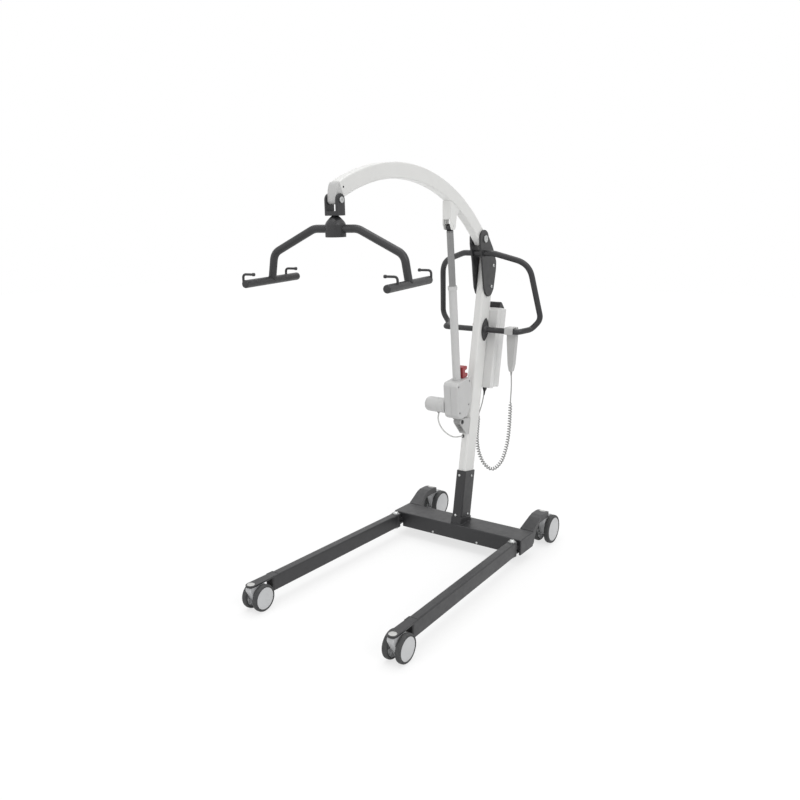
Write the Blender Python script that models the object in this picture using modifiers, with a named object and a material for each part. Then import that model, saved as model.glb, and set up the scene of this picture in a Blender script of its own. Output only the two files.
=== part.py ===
"""Electric patient lift, built at real size in metres with +Z up.

The boom and the legs point to -Y, the push handle faces +Y and +X is the lift's right-hand side.
The lift stands at rest on its eight caster wheels with the legs almost closed.
"""
import math

import bmesh
import bpy
from mathutils import Matrix, Vector

# Clearances
GAP = 0.0003
RUNNING_FIT = 0.0004

# Crossbar: an open-bottomed box of folded steel
BAR_LENGTH = 0.628
BAR_DEPTH = 0.120
BAR_HEIGHT = 0.067
BAR_UNDERSIDE = 0.044
BAR_WALL = 0.004
BAR_CORNER = 0.003

# Legs and their pivots on the crossbar
LEG_PIVOT_FROM_BAR_END = 0.027
LEG_PIVOT_AHEAD = 0.028
LEG_WIDTH = 0.036
LEG_HEIGHT = 0.060
LEG_UNDERSIDE = 0.049
LEG_TUBE_LENGTH = 0.787
LEG_CORNER = 0.006
LEG_SPLAY = math.radians(1.5)
LEG_OPENING = math.radians(12.5)
KNUCKLE_RADIUS = 0.020
TONGUE_THICKNESS = 0.012
TONGUE_RADIUS = 0.016
PIVOT_BOLT_RADIUS = 0.006
PIVOT_BOLT_HEAD_RADIUS = 0.0115
PIVOT_BOLT_HEAD_HEIGHT = 0.009
PIVOT_NUT_HEIGHT = 0.008
NOSE_THICKNESS = 0.0075
NOSE_RADIUS = 0.019
NOSE_LAP = 0.030
NOSE_REACH = 0.094
NOSE_CAP = 0.003

# Spreader mechanism inside the crossbar
CRANK_LENGTH = 0.060
CRANK_WIDTH = 0.022
CRANK_THICKNESS = 0.009
CRANK_ABOVE_LEG_UNDERSIDE = 0.003
CRANK_PIN_RADIUS = 0.005
CRANK_PIN_HEIGHT = 0.022
SPREADER_EYE_RADIUS = 0.011
SPREADER_EYE_HEIGHT = 0.018
SPREADER_TUBE_RADIUS = 0.0150
SPREADER_TUBE_END = 0.020
SPREADER_BORE_DEPTH = 0.120
SPREADER_ROD_RADIUS = 0.009
SPREADER_MOTOR_RADIUS = 0.017
SPREADER_MOTOR_LENGTH = 0.130
SPREADER_GEARCASE_START = 0.018
SPREADER_GEARCASE_LENGTH = 0.036
SPREADER_GEARCASE_HEIGHT = 0.029

# Casters: wheel diameter, wheel width, width over both wheels and trail
FRONT_WHEEL_DIAMETER = 0.100
FRONT_WHEEL_WIDTH = 0.022
FRONT_CASTER_WIDTH = 0.073
FRONT_TRAIL = 0.035
REAR_WHEEL_DIAMETER = 0.125
REAR_WHEEL_WIDTH = 0.024
REAR_CASTER_WIDTH = 0.080
REAR_TRAIL = 0.038
REAR_SWIVEL_BEHIND_BAR = 0.148
TYRE_ROUNDING = 0.006
AXLE_RADIUS = 0.004
AXLE_DEPTH_IN_WHEEL = 0.015
STEM_RADIUS = 0.0055
BEARING_RADIUS = 0.014
BEARING_HEIGHT = 0.0020
PEDAL_LENGTH = 0.028
PEDAL_THICKNESS = 0.005
PEDAL_BARREL_RADIUS = 0.006
PEDAL_RISE = math.radians(14.0)
PEDAL_HINGE_ANGLE = 2.0

# Rear caster arms
REAR_ARM_PLATE_CLEARANCE = 0.0035
REAR_ARM_RISE = 0.0265
REAR_ARM_FROM_BAR_END = 0.002
REAR_ARM_ROOT_WIDTH = 0.062
REAR_ARM_NOSE_RADIUS = 0.025
REAR_ARM_CAP = 0.006

# Mast, its socket and its lean; heights along the mast are measured from the lean's datum
MAST_LEAN = math.radians(9.45)
MAST_DATUM_HEIGHT = 0.150
MAST_WIDTH = 0.036
MAST_DEPTH = 0.080
MAST_CORNER = 0.008
MAST_WALL = 0.003
MAST_TOP = 1.095
SOCKET_WALL = 0.0042
SOCKET_CORNER = 0.007
SOCKET_TOP = 0.1865
SOCKET_FOOT_HEIGHT = 0.016
SOCKET_FOOT_LIP = 0.003

# Mast head: plates, boom pivot and push handle, measured from the top of the mast
PLATE_THICKNESS = 0.008
PLATE_HEAD_RADIUS = 0.036
PLATE_LENGTH_ON_MAST = 0.162
PIVOT_AHEAD_OF_MAST_AXIS = 0.083
PIVOT_ABOVE_MAST_TOP = 0.069
PIVOT_PIN_RADIUS = 0.010
PIVOT_PIN_HEAD_RADIUS = 0.015
PIVOT_PIN_HEAD = 0.005
HANDLE_TUBE_RADIUS = 0.012
HANDLE_TOP_AHEAD = 0.080
HANDLE_TOP_ABOVE_MAST_TOP = 0.011
HANDLE_BAR_BEHIND = 0.006
HANDLE_BAR_BELOW_MAST_TOP = 0.300
HANDLE_HALF_WIDTH = 0.238
HANDLE_TOP_STRAIGHT = 0.070
HANDLE_TOP_BEND = 0.060
HANDLE_SHOULDER_INSET = 0.0326
HANDLE_SHOULDER_BACK = 0.061
HANDLE_SHOULDER_DROP = 0.0315
HANDLE_SHOULDER_BEND = 0.0914
HANDLE_ELBOW_BACK = 0.073
HANDLE_ELBOW_RISE = 0.0616
HANDLE_ELBOW_BEND = 0.0469
HANDLE_WRIST_INSET = 0.0375
HANDLE_WRIST_BACK = 0.0713
HANDLE_WRIST_RISE = 0.0177
HANDLE_WRIST_BEND = 0.029
HANDLE_BAR_INSET = 0.062
HANDLE_BAR_BEND = 0.022
FLANGE_LENGTH = 0.098
FLANGE_WIDTH = 0.056
FLANGE_THICKNESS = 0.005

# Boom: constant section, bent to a tight arc in front of its apex and a wider one behind it
BOOM_WIDTH = 0.036
BOOM_DEPTH = 0.055
BOOM_CORNER = 0.006
BOOM_APEX_AHEAD = 0.587
BOOM_APEX_RISE = 0.240
BOOM_FRONT_RADIUS = 0.822
BOOM_FRONT_SWEEP = math.radians(25.0)
BOOM_REAR_STEPS = 11
BOOM_FRONT_STEPS = 7
NOSE_PLATE = 0.007
NOSE_LUG_RADIUS = 0.0135
HANGER_PIN_RADIUS = 0.0055
HANGER_PIN_BELOW_BOOM_END = 0.0316
HANGER_PIN_AHEAD_OF_BOOM_END = 0.0136
HANGER_PIN_HEAD_RADIUS = 0.010
HANGER_PIN_HEAD = 0.004

# Hanger: clevis, hub, bent arm tube and two cross bars with hooks
CLEVIS_EAR_THICKNESS = 0.008
CLEVIS_EAR_WIDTH = 0.040
CLEVIS_DROP = 0.048
CLEVIS_BASE_THICKNESS = 0.014
SWIVEL_STEM_RADIUS = 0.008
HUB_TOP_RADIUS = 0.012
HUB_RADIUS = 0.0333
HUB_CONE_HEIGHT = 0.0235
HUB_HEIGHT = 0.066
ARM_TUBE_RADIUS = 0.013
ARM_BELOW_HUB_TOP = 0.0400
ARM_SHOULDER = 0.081
ARM_ELBOW_OUT = 0.242
ARM_ELBOW_DROP = 0.079
BAR_OUT = 0.257
BAR_DROP = 0.1675
CROSS_BAR_RADIUS = 0.013
CROSS_BAR_HALF_LENGTH = 0.148
HOOK_ROD_RADIUS = 0.004
HOOK_RISE = 0.031
HOOK_REACH = 0.043
HOOK_OFFSET = 0.008
HOOK_BEND = 0.012
HOOK_TIP_RADIUS = 0.0055
HOOK_NEAR_END = 0.143
HOOK_FAR_SIDE = 0.092
HANGER_YAW = math.radians(7.2)
HANGER_LEAN = math.radians(2.0)

# Lift actuator, from its lower pin in front of the mast to its eye under the boom
ACTUATOR_PIN_AHEAD = 0.107
ACTUATOR_PIN_UP_MAST = 0.401
ACTUATOR_PIN_RADIUS = 0.006
ACTUATOR_PIN_HEAD_RADIUS = 0.009
ACTUATOR_PIN_HEAD = 0.003
ACTUATOR_LUG_HALF_WIDTH = 0.012
ACTUATOR_LUG_RADIUS = 0.013
CHEEK_THICKNESS = 0.005
BRACKET_BASE_THICKNESS = 0.004
BRACKET_RISE = 0.016
BRACKET_DROP = 0.053
BRACKET_FOOT = 0.018
GEARBOX_WIDTH = 0.068
GEARBOX_FRONT = 0.054
GEARBOX_BACK = 0.059
GEARBOX_BOTTOM = 0.024
GEARBOX_TOP = 0.182
MOTOR_RADIUS = 0.031
MOTOR_LENGTH = 0.096
MOTOR_AHEAD = 0.034
MOTOR_UP = 0.076
ACTUATOR_TUBE_RADIUS = 0.0165
ACTUATOR_TUBE_TOP = 0.572
ACTUATOR_COLLAR_RADIUS = 0.0190
ACTUATOR_COLLAR_HEIGHT = 0.016
ACTUATOR_ROD_RADIUS = 0.0135
ROD_STROKE_DOWN = 0.2075
ROD_EYE_RADIUS = 0.0135
ROD_EYE_HALF_WIDTH = 0.010
EYE_AHEAD_OF_BOOM_PIVOT = 0.242
EYE_ABOVE_BOOM_PIVOT = 0.0465
EYE_HOLE_RADIUS = 0.006
BOOM_BRACKET_PLATE = 0.0035
BOOM_BRACKET_BOSS_RADIUS = 0.008
BOOM_BRACKET_BOSS_HEIGHT = 0.004
BOOM_BRACKET_FRONT = 0.0255
BOOM_BRACKET_BACK = 0.0415
BOOM_BRACKET_WEB_ABOVE_EYE = 0.030
LOWERING_KNOB_RADIUS = 0.0165
LOWERING_KNOB_NECK_RADIUS = 0.0085
LOWERING_KNOB_HEIGHT = 0.045
LOWERING_KNOB_BEHIND = 0.040

# Control box and battery on the back of the mast
BOX_WIDTH = 0.112
BOX_DEPTH = 0.028
BOX_BOTTOM = 0.547
BOX_TOP = 0.885
BATTERY_DEPTH = 0.052
BATTERY_GRIP_HEIGHT = 0.036
STOP_BUTTON_RADIUS = 0.010
STOP_BUTTON_HEIGHT = 0.009
STOP_BUTTON_BELOW_BOX_TOP = 0.070
GLAND_X = 0.022
GLAND_RADIUS = 0.0075
GLAND_LENGTH = 0.014

# Hand pendant, hooked over the handle's low bar
PENDANT_FROM_BAR_BEND = 0.038
PENDANT_X = HANDLE_HALF_WIDTH - HANDLE_BAR_INSET - PENDANT_FROM_BAR_BEND
PENDANT_TOP_HALF_WIDTH = 0.0215
PENDANT_LOW_HALF_WIDTH = 0.0140
PENDANT_TIP_HALF_WIDTH = 0.007
PENDANT_LENGTH = 0.190
PENDANT_STRAIGHT_LENGTH = 0.055
PENDANT_TIP_LENGTH = 0.030
PENDANT_THICKNESS = 0.024
PENDANT_HOOK_THICKNESS = 0.005
PENDANT_HOOK_DROP = 0.0125
KEY_WIDTH = 0.014
KEY_HEIGHT = 0.016
KEY_PITCH_X = 0.0165
KEY_PITCH_Z = 0.023
KEY_PROUD = 0.0015
KEY_TRAVEL = 0.001
KEY_DEPTH = 0.006
KEYS_BELOW_BAR = 0.062
# Each key's name, column and row
KEYS = (
    ("boom_up", -0.5, 1.0),
    ("boom_down", 0.5, 1.0),
    ("legs_open", -0.5, 0.0),
    ("legs_close", 0.5, 0.0),
)

# Pendant cord: a straight tail at each end and one curly stretch between them
CORD_RADIUS = 0.0025
COIL_RADIUS = 0.0062
COIL_CURLS = 52
COIL_POINTS_PER_CURL = 8
TAIL_POINT_SPACING = 0.012
# The curly stretch's route, from below the pendant down, round and up behind the mast
CORD_COIL_START = (0.131, 0.176, 0.630)
CORD_COIL_END = (-0.006, 0.1470, 0.560)
CORD_BEND = [
    (0.130, 0.176, 0.560), (0.127, 0.176, 0.490), (0.119, 0.174, 0.425), (0.098, 0.170, 0.354),
    (0.060, 0.163, 0.314), (0.021, 0.157, 0.333), (-0.004, 0.152, 0.382), (-0.013, 0.149, 0.440),
    (-0.011, 0.148, 0.500),
]

# Motor cable, from the motor's underside to the front of the mast
MOTOR_CABLE_RADIUS = 0.003
MOTOR_CABLE_BEND = [
    (-0.071, -0.088, 0.575), (-0.063, -0.083, 0.545), (-0.048, -0.066, 0.515), (-0.027, -0.036, 0.492),
]

COLOURS = {
    "white_paint": ("d6d6d4", 0.38, 0.0),
    "dark_paint": ("3c3d3f", 0.48, 0.0),
    "grey_plastic": ("bdbdbb", 0.50, 0.0),
    "mid_grey_plastic": ("a6a6a4", 0.55, 0.0),
    "black_plastic": ("2b2b2c", 0.50, 0.0),
    "zinc_steel": ("b4b4b2", 0.35, 1.0),
    "tyre_rubber": ("3a3a3b", 0.75, 0.0),
    "red_plastic": ("9a3a3f", 0.45, 0.0),
    "cord_plastic": ("b2b2b0", 0.55, 0.0),
}


def linear(hex_colour):
    """Turn an sRGB hex colour into linear RGBA."""
    parts = [int(hex_colour[i:i + 2], 16) / 255.0 for i in (0, 2, 4)]
    return [p / 12.92 if p <= 0.04045 else ((p + 0.055) / 1.055) ** 2.4 for p in parts] + [1.0]


def give_material(obj, finish):
    colour, roughness, metallic = COLOURS[finish]
    material = bpy.data.materials.new(obj.name + "_" + finish)
    material.use_nodes = True
    shader = material.node_tree.nodes["Principled BSDF"]
    shader.inputs["Base Color"].default_value = linear(colour)
    shader.inputs["Roughness"].default_value = roughness
    shader.inputs["Metallic"].default_value = metallic
    obj.data.materials.clear()
    obj.data.materials.append(material)


def start_scene():
    for obj in list(bpy.data.objects):
        bpy.data.objects.remove(obj, do_unlink=True)
    for name in ("electric_patient_lift", "cutters"):
        bpy.context.scene.collection.children.link(bpy.data.collections.new(name))


def axis_frame(name, matrix=None, parent=None):
    """An empty that holds a joint axis or a leaning frame."""
    empty = bpy.data.objects.new(name, None)
    empty.empty_display_size = 0.02
    bpy.data.collections["electric_patient_lift"].objects.link(empty)
    empty.parent = parent
    if matrix is not None:
        empty.matrix_basis = matrix
    return empty


def place(name, mesh, finish, parent=None, matrix=None):
    obj = bpy.data.objects.new(name, mesh)
    bpy.data.collections["electric_patient_lift"].objects.link(obj)
    obj.parent = parent
    if matrix is not None:
        obj.matrix_basis = matrix
    mesh.shade_smooth()
    mesh.set_sharp_from_angle(angle=math.radians(35.0))
    give_material(obj, finish)
    return obj


def mesh_of(name, bm):
    mesh = bpy.data.meshes.new(name)
    bm.to_mesh(mesh)
    bm.free()
    return mesh


def bevel(obj, width, segments=2, angle=math.radians(40.0)):
    modifier = obj.modifiers.new("rounding", "BEVEL")
    modifier.width = width
    modifier.segments = segments
    modifier.limit_method = "ANGLE"
    modifier.angle_limit = angle


def block(name, low, high, finish, parent=None, matrix=None, rounding=0.0, segments=2):
    """A box between two opposite corners, with its edges rounded where asked."""
    low = Vector(low)
    high = Vector(high)
    bm = bmesh.new()
    move = Matrix.Translation((low + high) / 2.0) @ Matrix.Diagonal((*(high - low), 1.0))
    bmesh.ops.create_cube(bm, size=1.0, matrix=move)
    obj = place(name, mesh_of(name, bm), finish, parent, matrix)
    if rounding:
        bevel(obj, rounding, segments)
    return obj


def round_bar(name, radius, start, end, finish, parent=None, matrix=None, segments=14):
    """A cylinder from one point to another."""
    start = Vector(start)
    end = Vector(end)
    turn = (end - start).to_track_quat("Z", "Y").to_matrix().to_4x4()
    move = Matrix.Translation((start + end) / 2.0) @ turn
    bm = bmesh.new()
    bmesh.ops.create_cone(
        bm, cap_ends=True, segments=segments, radius1=radius, radius2=radius,
        depth=(end - start).length, matrix=move)
    return place(name, mesh_of(name, bm), finish, parent, matrix)


def turned(name, profile, finish, parent=None, matrix=None, steps=20, closed=False):
    """A lathe shape about local Z; the profile runs from top to bottom on its outer side."""
    bm = bmesh.new()
    points = [bm.verts.new((radius, 0.0, height)) for radius, height in profile]
    for first, second in zip(points, points[1:]):
        bm.edges.new((first, second))
    if closed:
        bm.edges.new((points[-1], points[0]))
    obj = place(name, mesh_of(name, bm), finish, parent, matrix)
    screw = obj.modifiers.new("lathe", "SCREW")
    screw.axis = "Z"
    screw.steps = steps
    screw.render_steps = steps
    screw.use_merge_vertices = True
    screw.merge_threshold = 0.00001
    screw.use_smooth_shade = True
    return obj


# Outline frames: local X and Y of an outline become these directions, and its thickness the third.
SIDEWAYS = Matrix(((0, 0, 1, 0), (1, 0, 0, 0), (0, 1, 0, 0), (0, 0, 0, 1)))
FLAT = Matrix.Identity(4)
FACING_BACK = Matrix(((-1, 0, 0, 0), (0, 0, 1, 0), (0, 1, 0, 0), (0, 0, 0, 1)))
ABOUT_X = Matrix.Rotation(math.pi / 2.0, 4, "Y")


def slab(name, outline, low, high, frame, finish, parent=None, matrix=None, holes=(),
         rounding=0.0, segments=2):
    """A flat outline given thickness from low to high across its plane."""
    curve = bpy.data.curves.new(name, "CURVE")
    curve.dimensions = "2D"
    curve.fill_mode = "BOTH"
    curve.extrude = (high - low) / 2.0
    for ring in (outline, *holes):
        spline = curve.splines.new("POLY")
        spline.points.add(len(ring) - 1)
        for point, (across, up) in zip(spline.points, ring):
            point.co = (across, up, 0.0, 1.0)
        spline.use_cyclic_u = True
    mesh = solid_from_curve(name, curve)
    mesh.transform(frame @ Matrix.Translation((0.0, 0.0, (high + low) / 2.0)))
    obj = place(name, mesh, finish, parent, matrix)
    if rounding:
        bevel(obj, rounding, segments)
    return obj


def solid_from_curve(name, curve):
    """The mesh that a curve fills, welded into one closed body facing out."""
    holder = bpy.data.objects.new(name + "_curve", curve)
    mesh = bpy.data.meshes.new_from_object(holder)
    bpy.data.objects.remove(holder, do_unlink=True)
    bm = bmesh.new()
    bm.from_mesh(mesh)
    bmesh.ops.remove_doubles(bm, verts=bm.verts, dist=0.00001)
    bmesh.ops.recalc_face_normals(bm, faces=bm.faces)
    bm.to_mesh(mesh)
    bm.free()
    mesh.name = name
    return mesh


def tube(name, points, radius, finish, parent=None, matrix=None, closed=False, sides=2):
    """A round bar that follows a list of points."""
    curve = bpy.data.curves.new(name, "CURVE")
    curve.dimensions = "3D"
    curve.bevel_depth = radius
    curve.bevel_resolution = sides
    curve.use_fill_caps = True
    spline = curve.splines.new("POLY")
    spline.points.add(len(points) - 1)
    for point, place_at in zip(spline.points, points):
        point.co = (*place_at, 1.0)
    spline.use_cyclic_u = closed
    return place(name, solid_from_curve(name, curve), finish, parent, matrix)


def rounded_path(corners, radii, steps=5, closed=False):
    """Points along straight runs whose corners are rounded by the given radii."""
    corners = [Vector(corner) for corner in corners]
    count = len(corners)
    path = []
    for index, corner in enumerate(corners):
        if not closed and index in (0, count - 1):
            path.append(corner)
            continue
        before = (corners[index - 1] - corner).normalized()
        after = (corners[(index + 1) % count] - corner).normalized()
        half_turn = (math.pi - before.angle(after)) / 2.0
        reach = radii[index] * math.tan(half_turn)
        for step in range(steps + 1):
            t = step / steps
            first = corner + before * reach * (1.0 - t)
            second = corner + after * reach * t
            path.append(first.lerp(second, t))
    return path


def arc(centre, radius, start, end, steps):
    """Points of a circular arc in an outline; angles in degrees."""
    points = []
    for step in range(steps + 1):
        angle = math.radians(start + (end - start) * step / steps)
        points.append((centre[0] + radius * math.cos(angle), centre[1] + radius * math.sin(angle)))
    return points


def combine(obj, other, operation):
    """Add another solid to this one, or cut it away, and hide the tool that does it."""
    modifier = obj.modifiers.new(operation.lower() + "_" + other.name, "BOOLEAN")
    modifier.solver = "EXACT"
    modifier.operation = operation
    modifier.object = other
    bpy.data.collections["electric_patient_lift"].objects.unlink(other)
    bpy.data.collections["cutters"].objects.link(other)
    other.hide_render = True
    other.display_type = "WIRE"


def add(obj, other):
    combine(obj, other, "UNION")


def cut(obj, other):
    combine(obj, other, "DIFFERENCE")


def bore(obj, radius, start, end, parent=None, segments=14):
    tool = round_bar("bore_in_" + obj.name, radius, start, end, "zinc_steel", parent, segments=segments)
    cut(obj, tool)


# Places worked out from the driving dimensions
BAR_TOP = BAR_UNDERSIDE + BAR_HEIGHT
LEG_PIVOT_X = BAR_LENGTH / 2.0 - LEG_PIVOT_FROM_BAR_END
FRONT_SWIVEL_FROM_PIVOT = LEG_TUBE_LENGTH + NOSE_REACH
REAR_ARM_OUTER_X = BAR_LENGTH / 2.0 - REAR_ARM_FROM_BAR_END
REAR_SWIVEL_X = REAR_ARM_OUTER_X - REAR_ARM_NOSE_RADIUS
LEG_TOP = LEG_UNDERSIDE + LEG_HEIGHT
LEG_PIVOT_Y = -BAR_DEPTH / 2.0 - LEG_PIVOT_AHEAD
TONGUE_LOW = LEG_UNDERSIDE + (LEG_HEIGHT - TONGUE_THICKNESS) / 2.0
TONGUE_HIGH = TONGUE_LOW + TONGUE_THICKNESS
CRANK_LOW = LEG_UNDERSIDE + CRANK_ABOVE_LEG_UNDERSIDE
CRANK_HIGH = CRANK_LOW + CRANK_THICKNESS
SPREADER_Y = LEG_PIVOT_Y + CRANK_LENGTH * math.cos(LEG_OPENING / 4.0) ** 2
SPREADER_PIN_X = LEG_PIVOT_X + CRANK_LENGTH * math.sin(LEG_OPENING / 2.0)
SPREADER_Z = CRANK_HIGH + GAP + SPREADER_EYE_HEIGHT / 2.0
REAR_SWIVEL_Y = BAR_DEPTH / 2.0 + REAR_SWIVEL_BEHIND_BAR
REAR_PLATE_LOW = REAR_WHEEL_DIAMETER + REAR_ARM_PLATE_CLEARANCE
REAR_BORE_TOP = REAR_PLATE_LOW + REAR_ARM_RISE - REAR_ARM_CAP
NOSE_LOW = LEG_TOP - NOSE_THICKNESS
NOSE_TOP = LEG_TOP - 0.0002
NOSE_BORE_TOP = LEG_TOP - NOSE_CAP
MAST_FRAME = Matrix.Translation((0.0, 0.0, MAST_DATUM_HEIGHT)) @ Matrix.Rotation(-MAST_LEAN, 4, "X")
PIVOT_ON_MAST = Vector((0.0, -PIVOT_AHEAD_OF_MAST_AXIS, MAST_TOP + PIVOT_ABOVE_MAST_TOP))
BOOM_PIVOT = MAST_FRAME @ PIVOT_ON_MAST
PLATE_INNER = MAST_WIDTH / 2.0 + GAP
PLATE_OUTER = PLATE_INNER + PLATE_THICKNESS
HANDLE_TOP_ON_MAST = Vector((0.0, -HANDLE_TOP_AHEAD, MAST_TOP + HANDLE_TOP_ABOVE_MAST_TOP))
HANDLE_BAR_ON_MAST = Vector((0.0, HANDLE_BAR_BEHIND, MAST_TOP - HANDLE_BAR_BELOW_MAST_TOP))
HANDLE_BAR = MAST_FRAME @ HANDLE_BAR_ON_MAST

# Boom arcs in the boom's own frame, whose origin is the pivot: (Y, Z) centres and radii
BOOM_REAR_RADIUS = (BOOM_APEX_AHEAD ** 2 + BOOM_APEX_RISE ** 2) / (2.0 * BOOM_APEX_RISE)
REAR_ARC_CENTRE = (-BOOM_APEX_AHEAD, BOOM_APEX_RISE - BOOM_REAR_RADIUS)
FRONT_ARC_CENTRE = (-BOOM_APEX_AHEAD, BOOM_APEX_RISE - BOOM_FRONT_RADIUS)
PIVOT_ANGLE = math.degrees(math.atan2(-REAR_ARC_CENTRE[1], -REAR_ARC_CENTRE[0]))
TIP_ANGLE = 90.0 + math.degrees(BOOM_FRONT_SWEEP)


def on_arc(centre, radius, degrees):
    angle = math.radians(degrees)
    return (centre[0] + radius * math.cos(angle), centre[1] + radius * math.sin(angle))


BOOM_END = on_arc(FRONT_ARC_CENTRE, BOOM_FRONT_RADIUS, TIP_ANGLE)
HANGER_PIN_OFFSET = Vector((0.0, -HANGER_PIN_AHEAD_OF_BOOM_END, -HANGER_PIN_BELOW_BOOM_END))
HANGER_PIN = BOOM_PIVOT + Vector((0.0, *BOOM_END)) + HANGER_PIN_OFFSET

# Actuator line, from its lower pin to its eye under the boom
ACTUATOR_PIN = MAST_FRAME @ Vector((0.0, -ACTUATOR_PIN_AHEAD, ACTUATOR_PIN_UP_MAST))
BOOM_EYE = BOOM_PIVOT + Vector((0.0, -EYE_AHEAD_OF_BOOM_PIVOT, EYE_ABOVE_BOOM_PIVOT))
ACTUATOR_LINE = BOOM_EYE - ACTUATOR_PIN
ACTUATOR_LENGTH = ACTUATOR_LINE.length
ACTUATOR_TILT = math.atan2(-ACTUATOR_LINE.y, ACTUATOR_LINE.z)


def build_crossbar():
    half_length = BAR_LENGTH / 2.0
    half_depth = BAR_DEPTH / 2.0
    low = (-half_length, -half_depth, BAR_UNDERSIDE)
    bar = block("base_crossbar", low, (half_length, half_depth, BAR_TOP), "dark_paint",
                rounding=BAR_CORNER, segments=1)
    inside_low = (-half_length + BAR_WALL, -half_depth + BAR_WALL, BAR_UNDERSIDE - 0.01)
    inside_high = (half_length - BAR_WALL, half_depth - BAR_WALL, BAR_TOP - BAR_WALL)
    inside = block("crossbar_inside", inside_low, inside_high, "dark_paint")
    cut(bar, inside)
    crank_swing = CRANK_WIDTH / 2.0 + 0.008
    for side in (-1.0, 1.0):
        pivot = (side * LEG_PIVOT_X, LEG_PIVOT_Y)
        root_y = -half_depth + BAR_WALL
        outline = [(pivot[0] + TONGUE_RADIUS, root_y), (pivot[0] - TONGUE_RADIUS, root_y)]
        outline += arc(pivot, TONGUE_RADIUS, 180.0, 360.0, 6)
        tongue = slab("pivot_tongue", outline, TONGUE_LOW, TONGUE_HIGH, FLAT, "dark_paint")
        add(bar, tongue)
        bore(bar, PIVOT_BOLT_RADIUS + GAP, (*pivot, TONGUE_LOW - 0.01), (*pivot, TONGUE_HIGH + 0.01))
        notch_low = (pivot[0] - crank_swing, -half_depth - 0.01, BAR_UNDERSIDE - 0.01)
        notch_high = (pivot[0] + crank_swing, root_y + 0.005, CRANK_HIGH + 0.002)
        notch = block("crank_notch", notch_low, notch_high, "dark_paint")
        cut(bar, notch)


def build_leg(side, frame):
    """One leg in its pivot's frame: tube, forked knuckle, crank and nose plate over the caster."""
    name = "leg_left" if side < 0 else "leg_right"
    half = LEG_WIDTH / 2.0
    leg = block(name, (-half, -LEG_TUBE_LENGTH, LEG_UNDERSIDE), (half, 0.0, LEG_TOP), "dark_paint",
                frame, rounding=LEG_CORNER, segments=2)
    knuckle = round_bar(name + "_knuckle", KNUCKLE_RADIUS, (0, 0, LEG_UNDERSIDE), (0, 0, LEG_TOP),
                        "dark_paint", frame)
    add(leg, knuckle)
    swivel_y = -FRONT_SWIVEL_FROM_PIVOT
    nose_outline = [(NOSE_RADIUS, swivel_y)]
    lap_y = -LEG_TUBE_LENGTH + NOSE_LAP
    nose_outline += [(half - 0.001, lap_y), (-half + 0.001, lap_y)]
    nose_outline += [(-NOSE_RADIUS, swivel_y)]
    nose_outline += arc((0.0, swivel_y), NOSE_RADIUS, 180.0, 360.0, 7)[1:-1]
    nose = slab(name + "_nose", nose_outline, NOSE_LOW, NOSE_TOP, FLAT, "dark_paint", frame)
    add(leg, nose)
    lean = Matrix.Rotation(-side * (LEG_OPENING / 2.0 + LEG_SPLAY), 4, "Z")
    crank_outline = [(CRANK_WIDTH / 2.0, 0.0)]
    crank_outline += arc((0.0, CRANK_LENGTH), CRANK_WIDTH / 2.0, 0.0, 180.0, 6)
    crank_outline += [(-CRANK_WIDTH / 2.0, 0.0)]
    crank = slab(name + "_crank", crank_outline, CRANK_LOW, CRANK_HIGH, lean, "dark_paint", frame)
    add(leg, crank)
    pin_at = lean @ Vector((0.0, CRANK_LENGTH, 0.0))
    pin_low = (pin_at.x, pin_at.y, CRANK_LOW + 0.002)
    pin_high = (pin_at.x, pin_at.y, CRANK_HIGH + CRANK_PIN_HEIGHT)
    pin = round_bar(name + "_crank_pin", CRANK_PIN_RADIUS, pin_low, pin_high, "dark_paint", frame)
    add(leg, pin)
    slot_low = TONGUE_LOW - GAP
    slot_high = TONGUE_HIGH + GAP
    slot = round_bar(name + "_slot", TONGUE_RADIUS + 2.0 * RUNNING_FIT, (0, 0, slot_low),
                     (0, 0, slot_high), "dark_paint", frame, segments=18)
    cut(leg, slot)
    reach = KNUCKLE_RADIUS + 0.005
    opening = block(name + "_slot_back", (-reach, 0.0, slot_low), (reach, reach, slot_high),
                    "dark_paint", frame)
    cut(leg, opening)
    bore(leg, PIVOT_BOLT_RADIUS + RUNNING_FIT, (0, 0, LEG_UNDERSIDE - 0.01), (0, 0, LEG_TOP + 0.01), frame)
    bore(leg, STEM_RADIUS + RUNNING_FIT, (0, swivel_y, NOSE_LOW - 0.01), (0, swivel_y, NOSE_BORE_TOP), frame)


def build_pivot_bolt(side):
    name = "leg_pivot_bolt_left" if side < 0 else "leg_pivot_bolt_right"
    top = LEG_TOP + GAP
    low = LEG_UNDERSIDE - GAP
    profile = [
        (0.0, top + PIVOT_BOLT_HEAD_HEIGHT),
        (PIVOT_BOLT_HEAD_RADIUS * 0.70, top + PIVOT_BOLT_HEAD_HEIGHT),
        (PIVOT_BOLT_HEAD_RADIUS, top + PIVOT_BOLT_HEAD_HEIGHT * 0.45),
        (PIVOT_BOLT_HEAD_RADIUS, top),
        (PIVOT_BOLT_RADIUS, top),
        (PIVOT_BOLT_RADIUS, low),
        (PIVOT_BOLT_HEAD_RADIUS * 0.85, low),
        (PIVOT_BOLT_HEAD_RADIUS * 0.85, low - PIVOT_NUT_HEIGHT),
        (0.0, low - PIVOT_NUT_HEIGHT),
    ]
    bolt_at = Matrix.Translation((side * LEG_PIVOT_X, LEG_PIVOT_Y, 0.0))
    turned(name, profile, "zinc_steel", matrix=bolt_at, steps=12)


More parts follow.
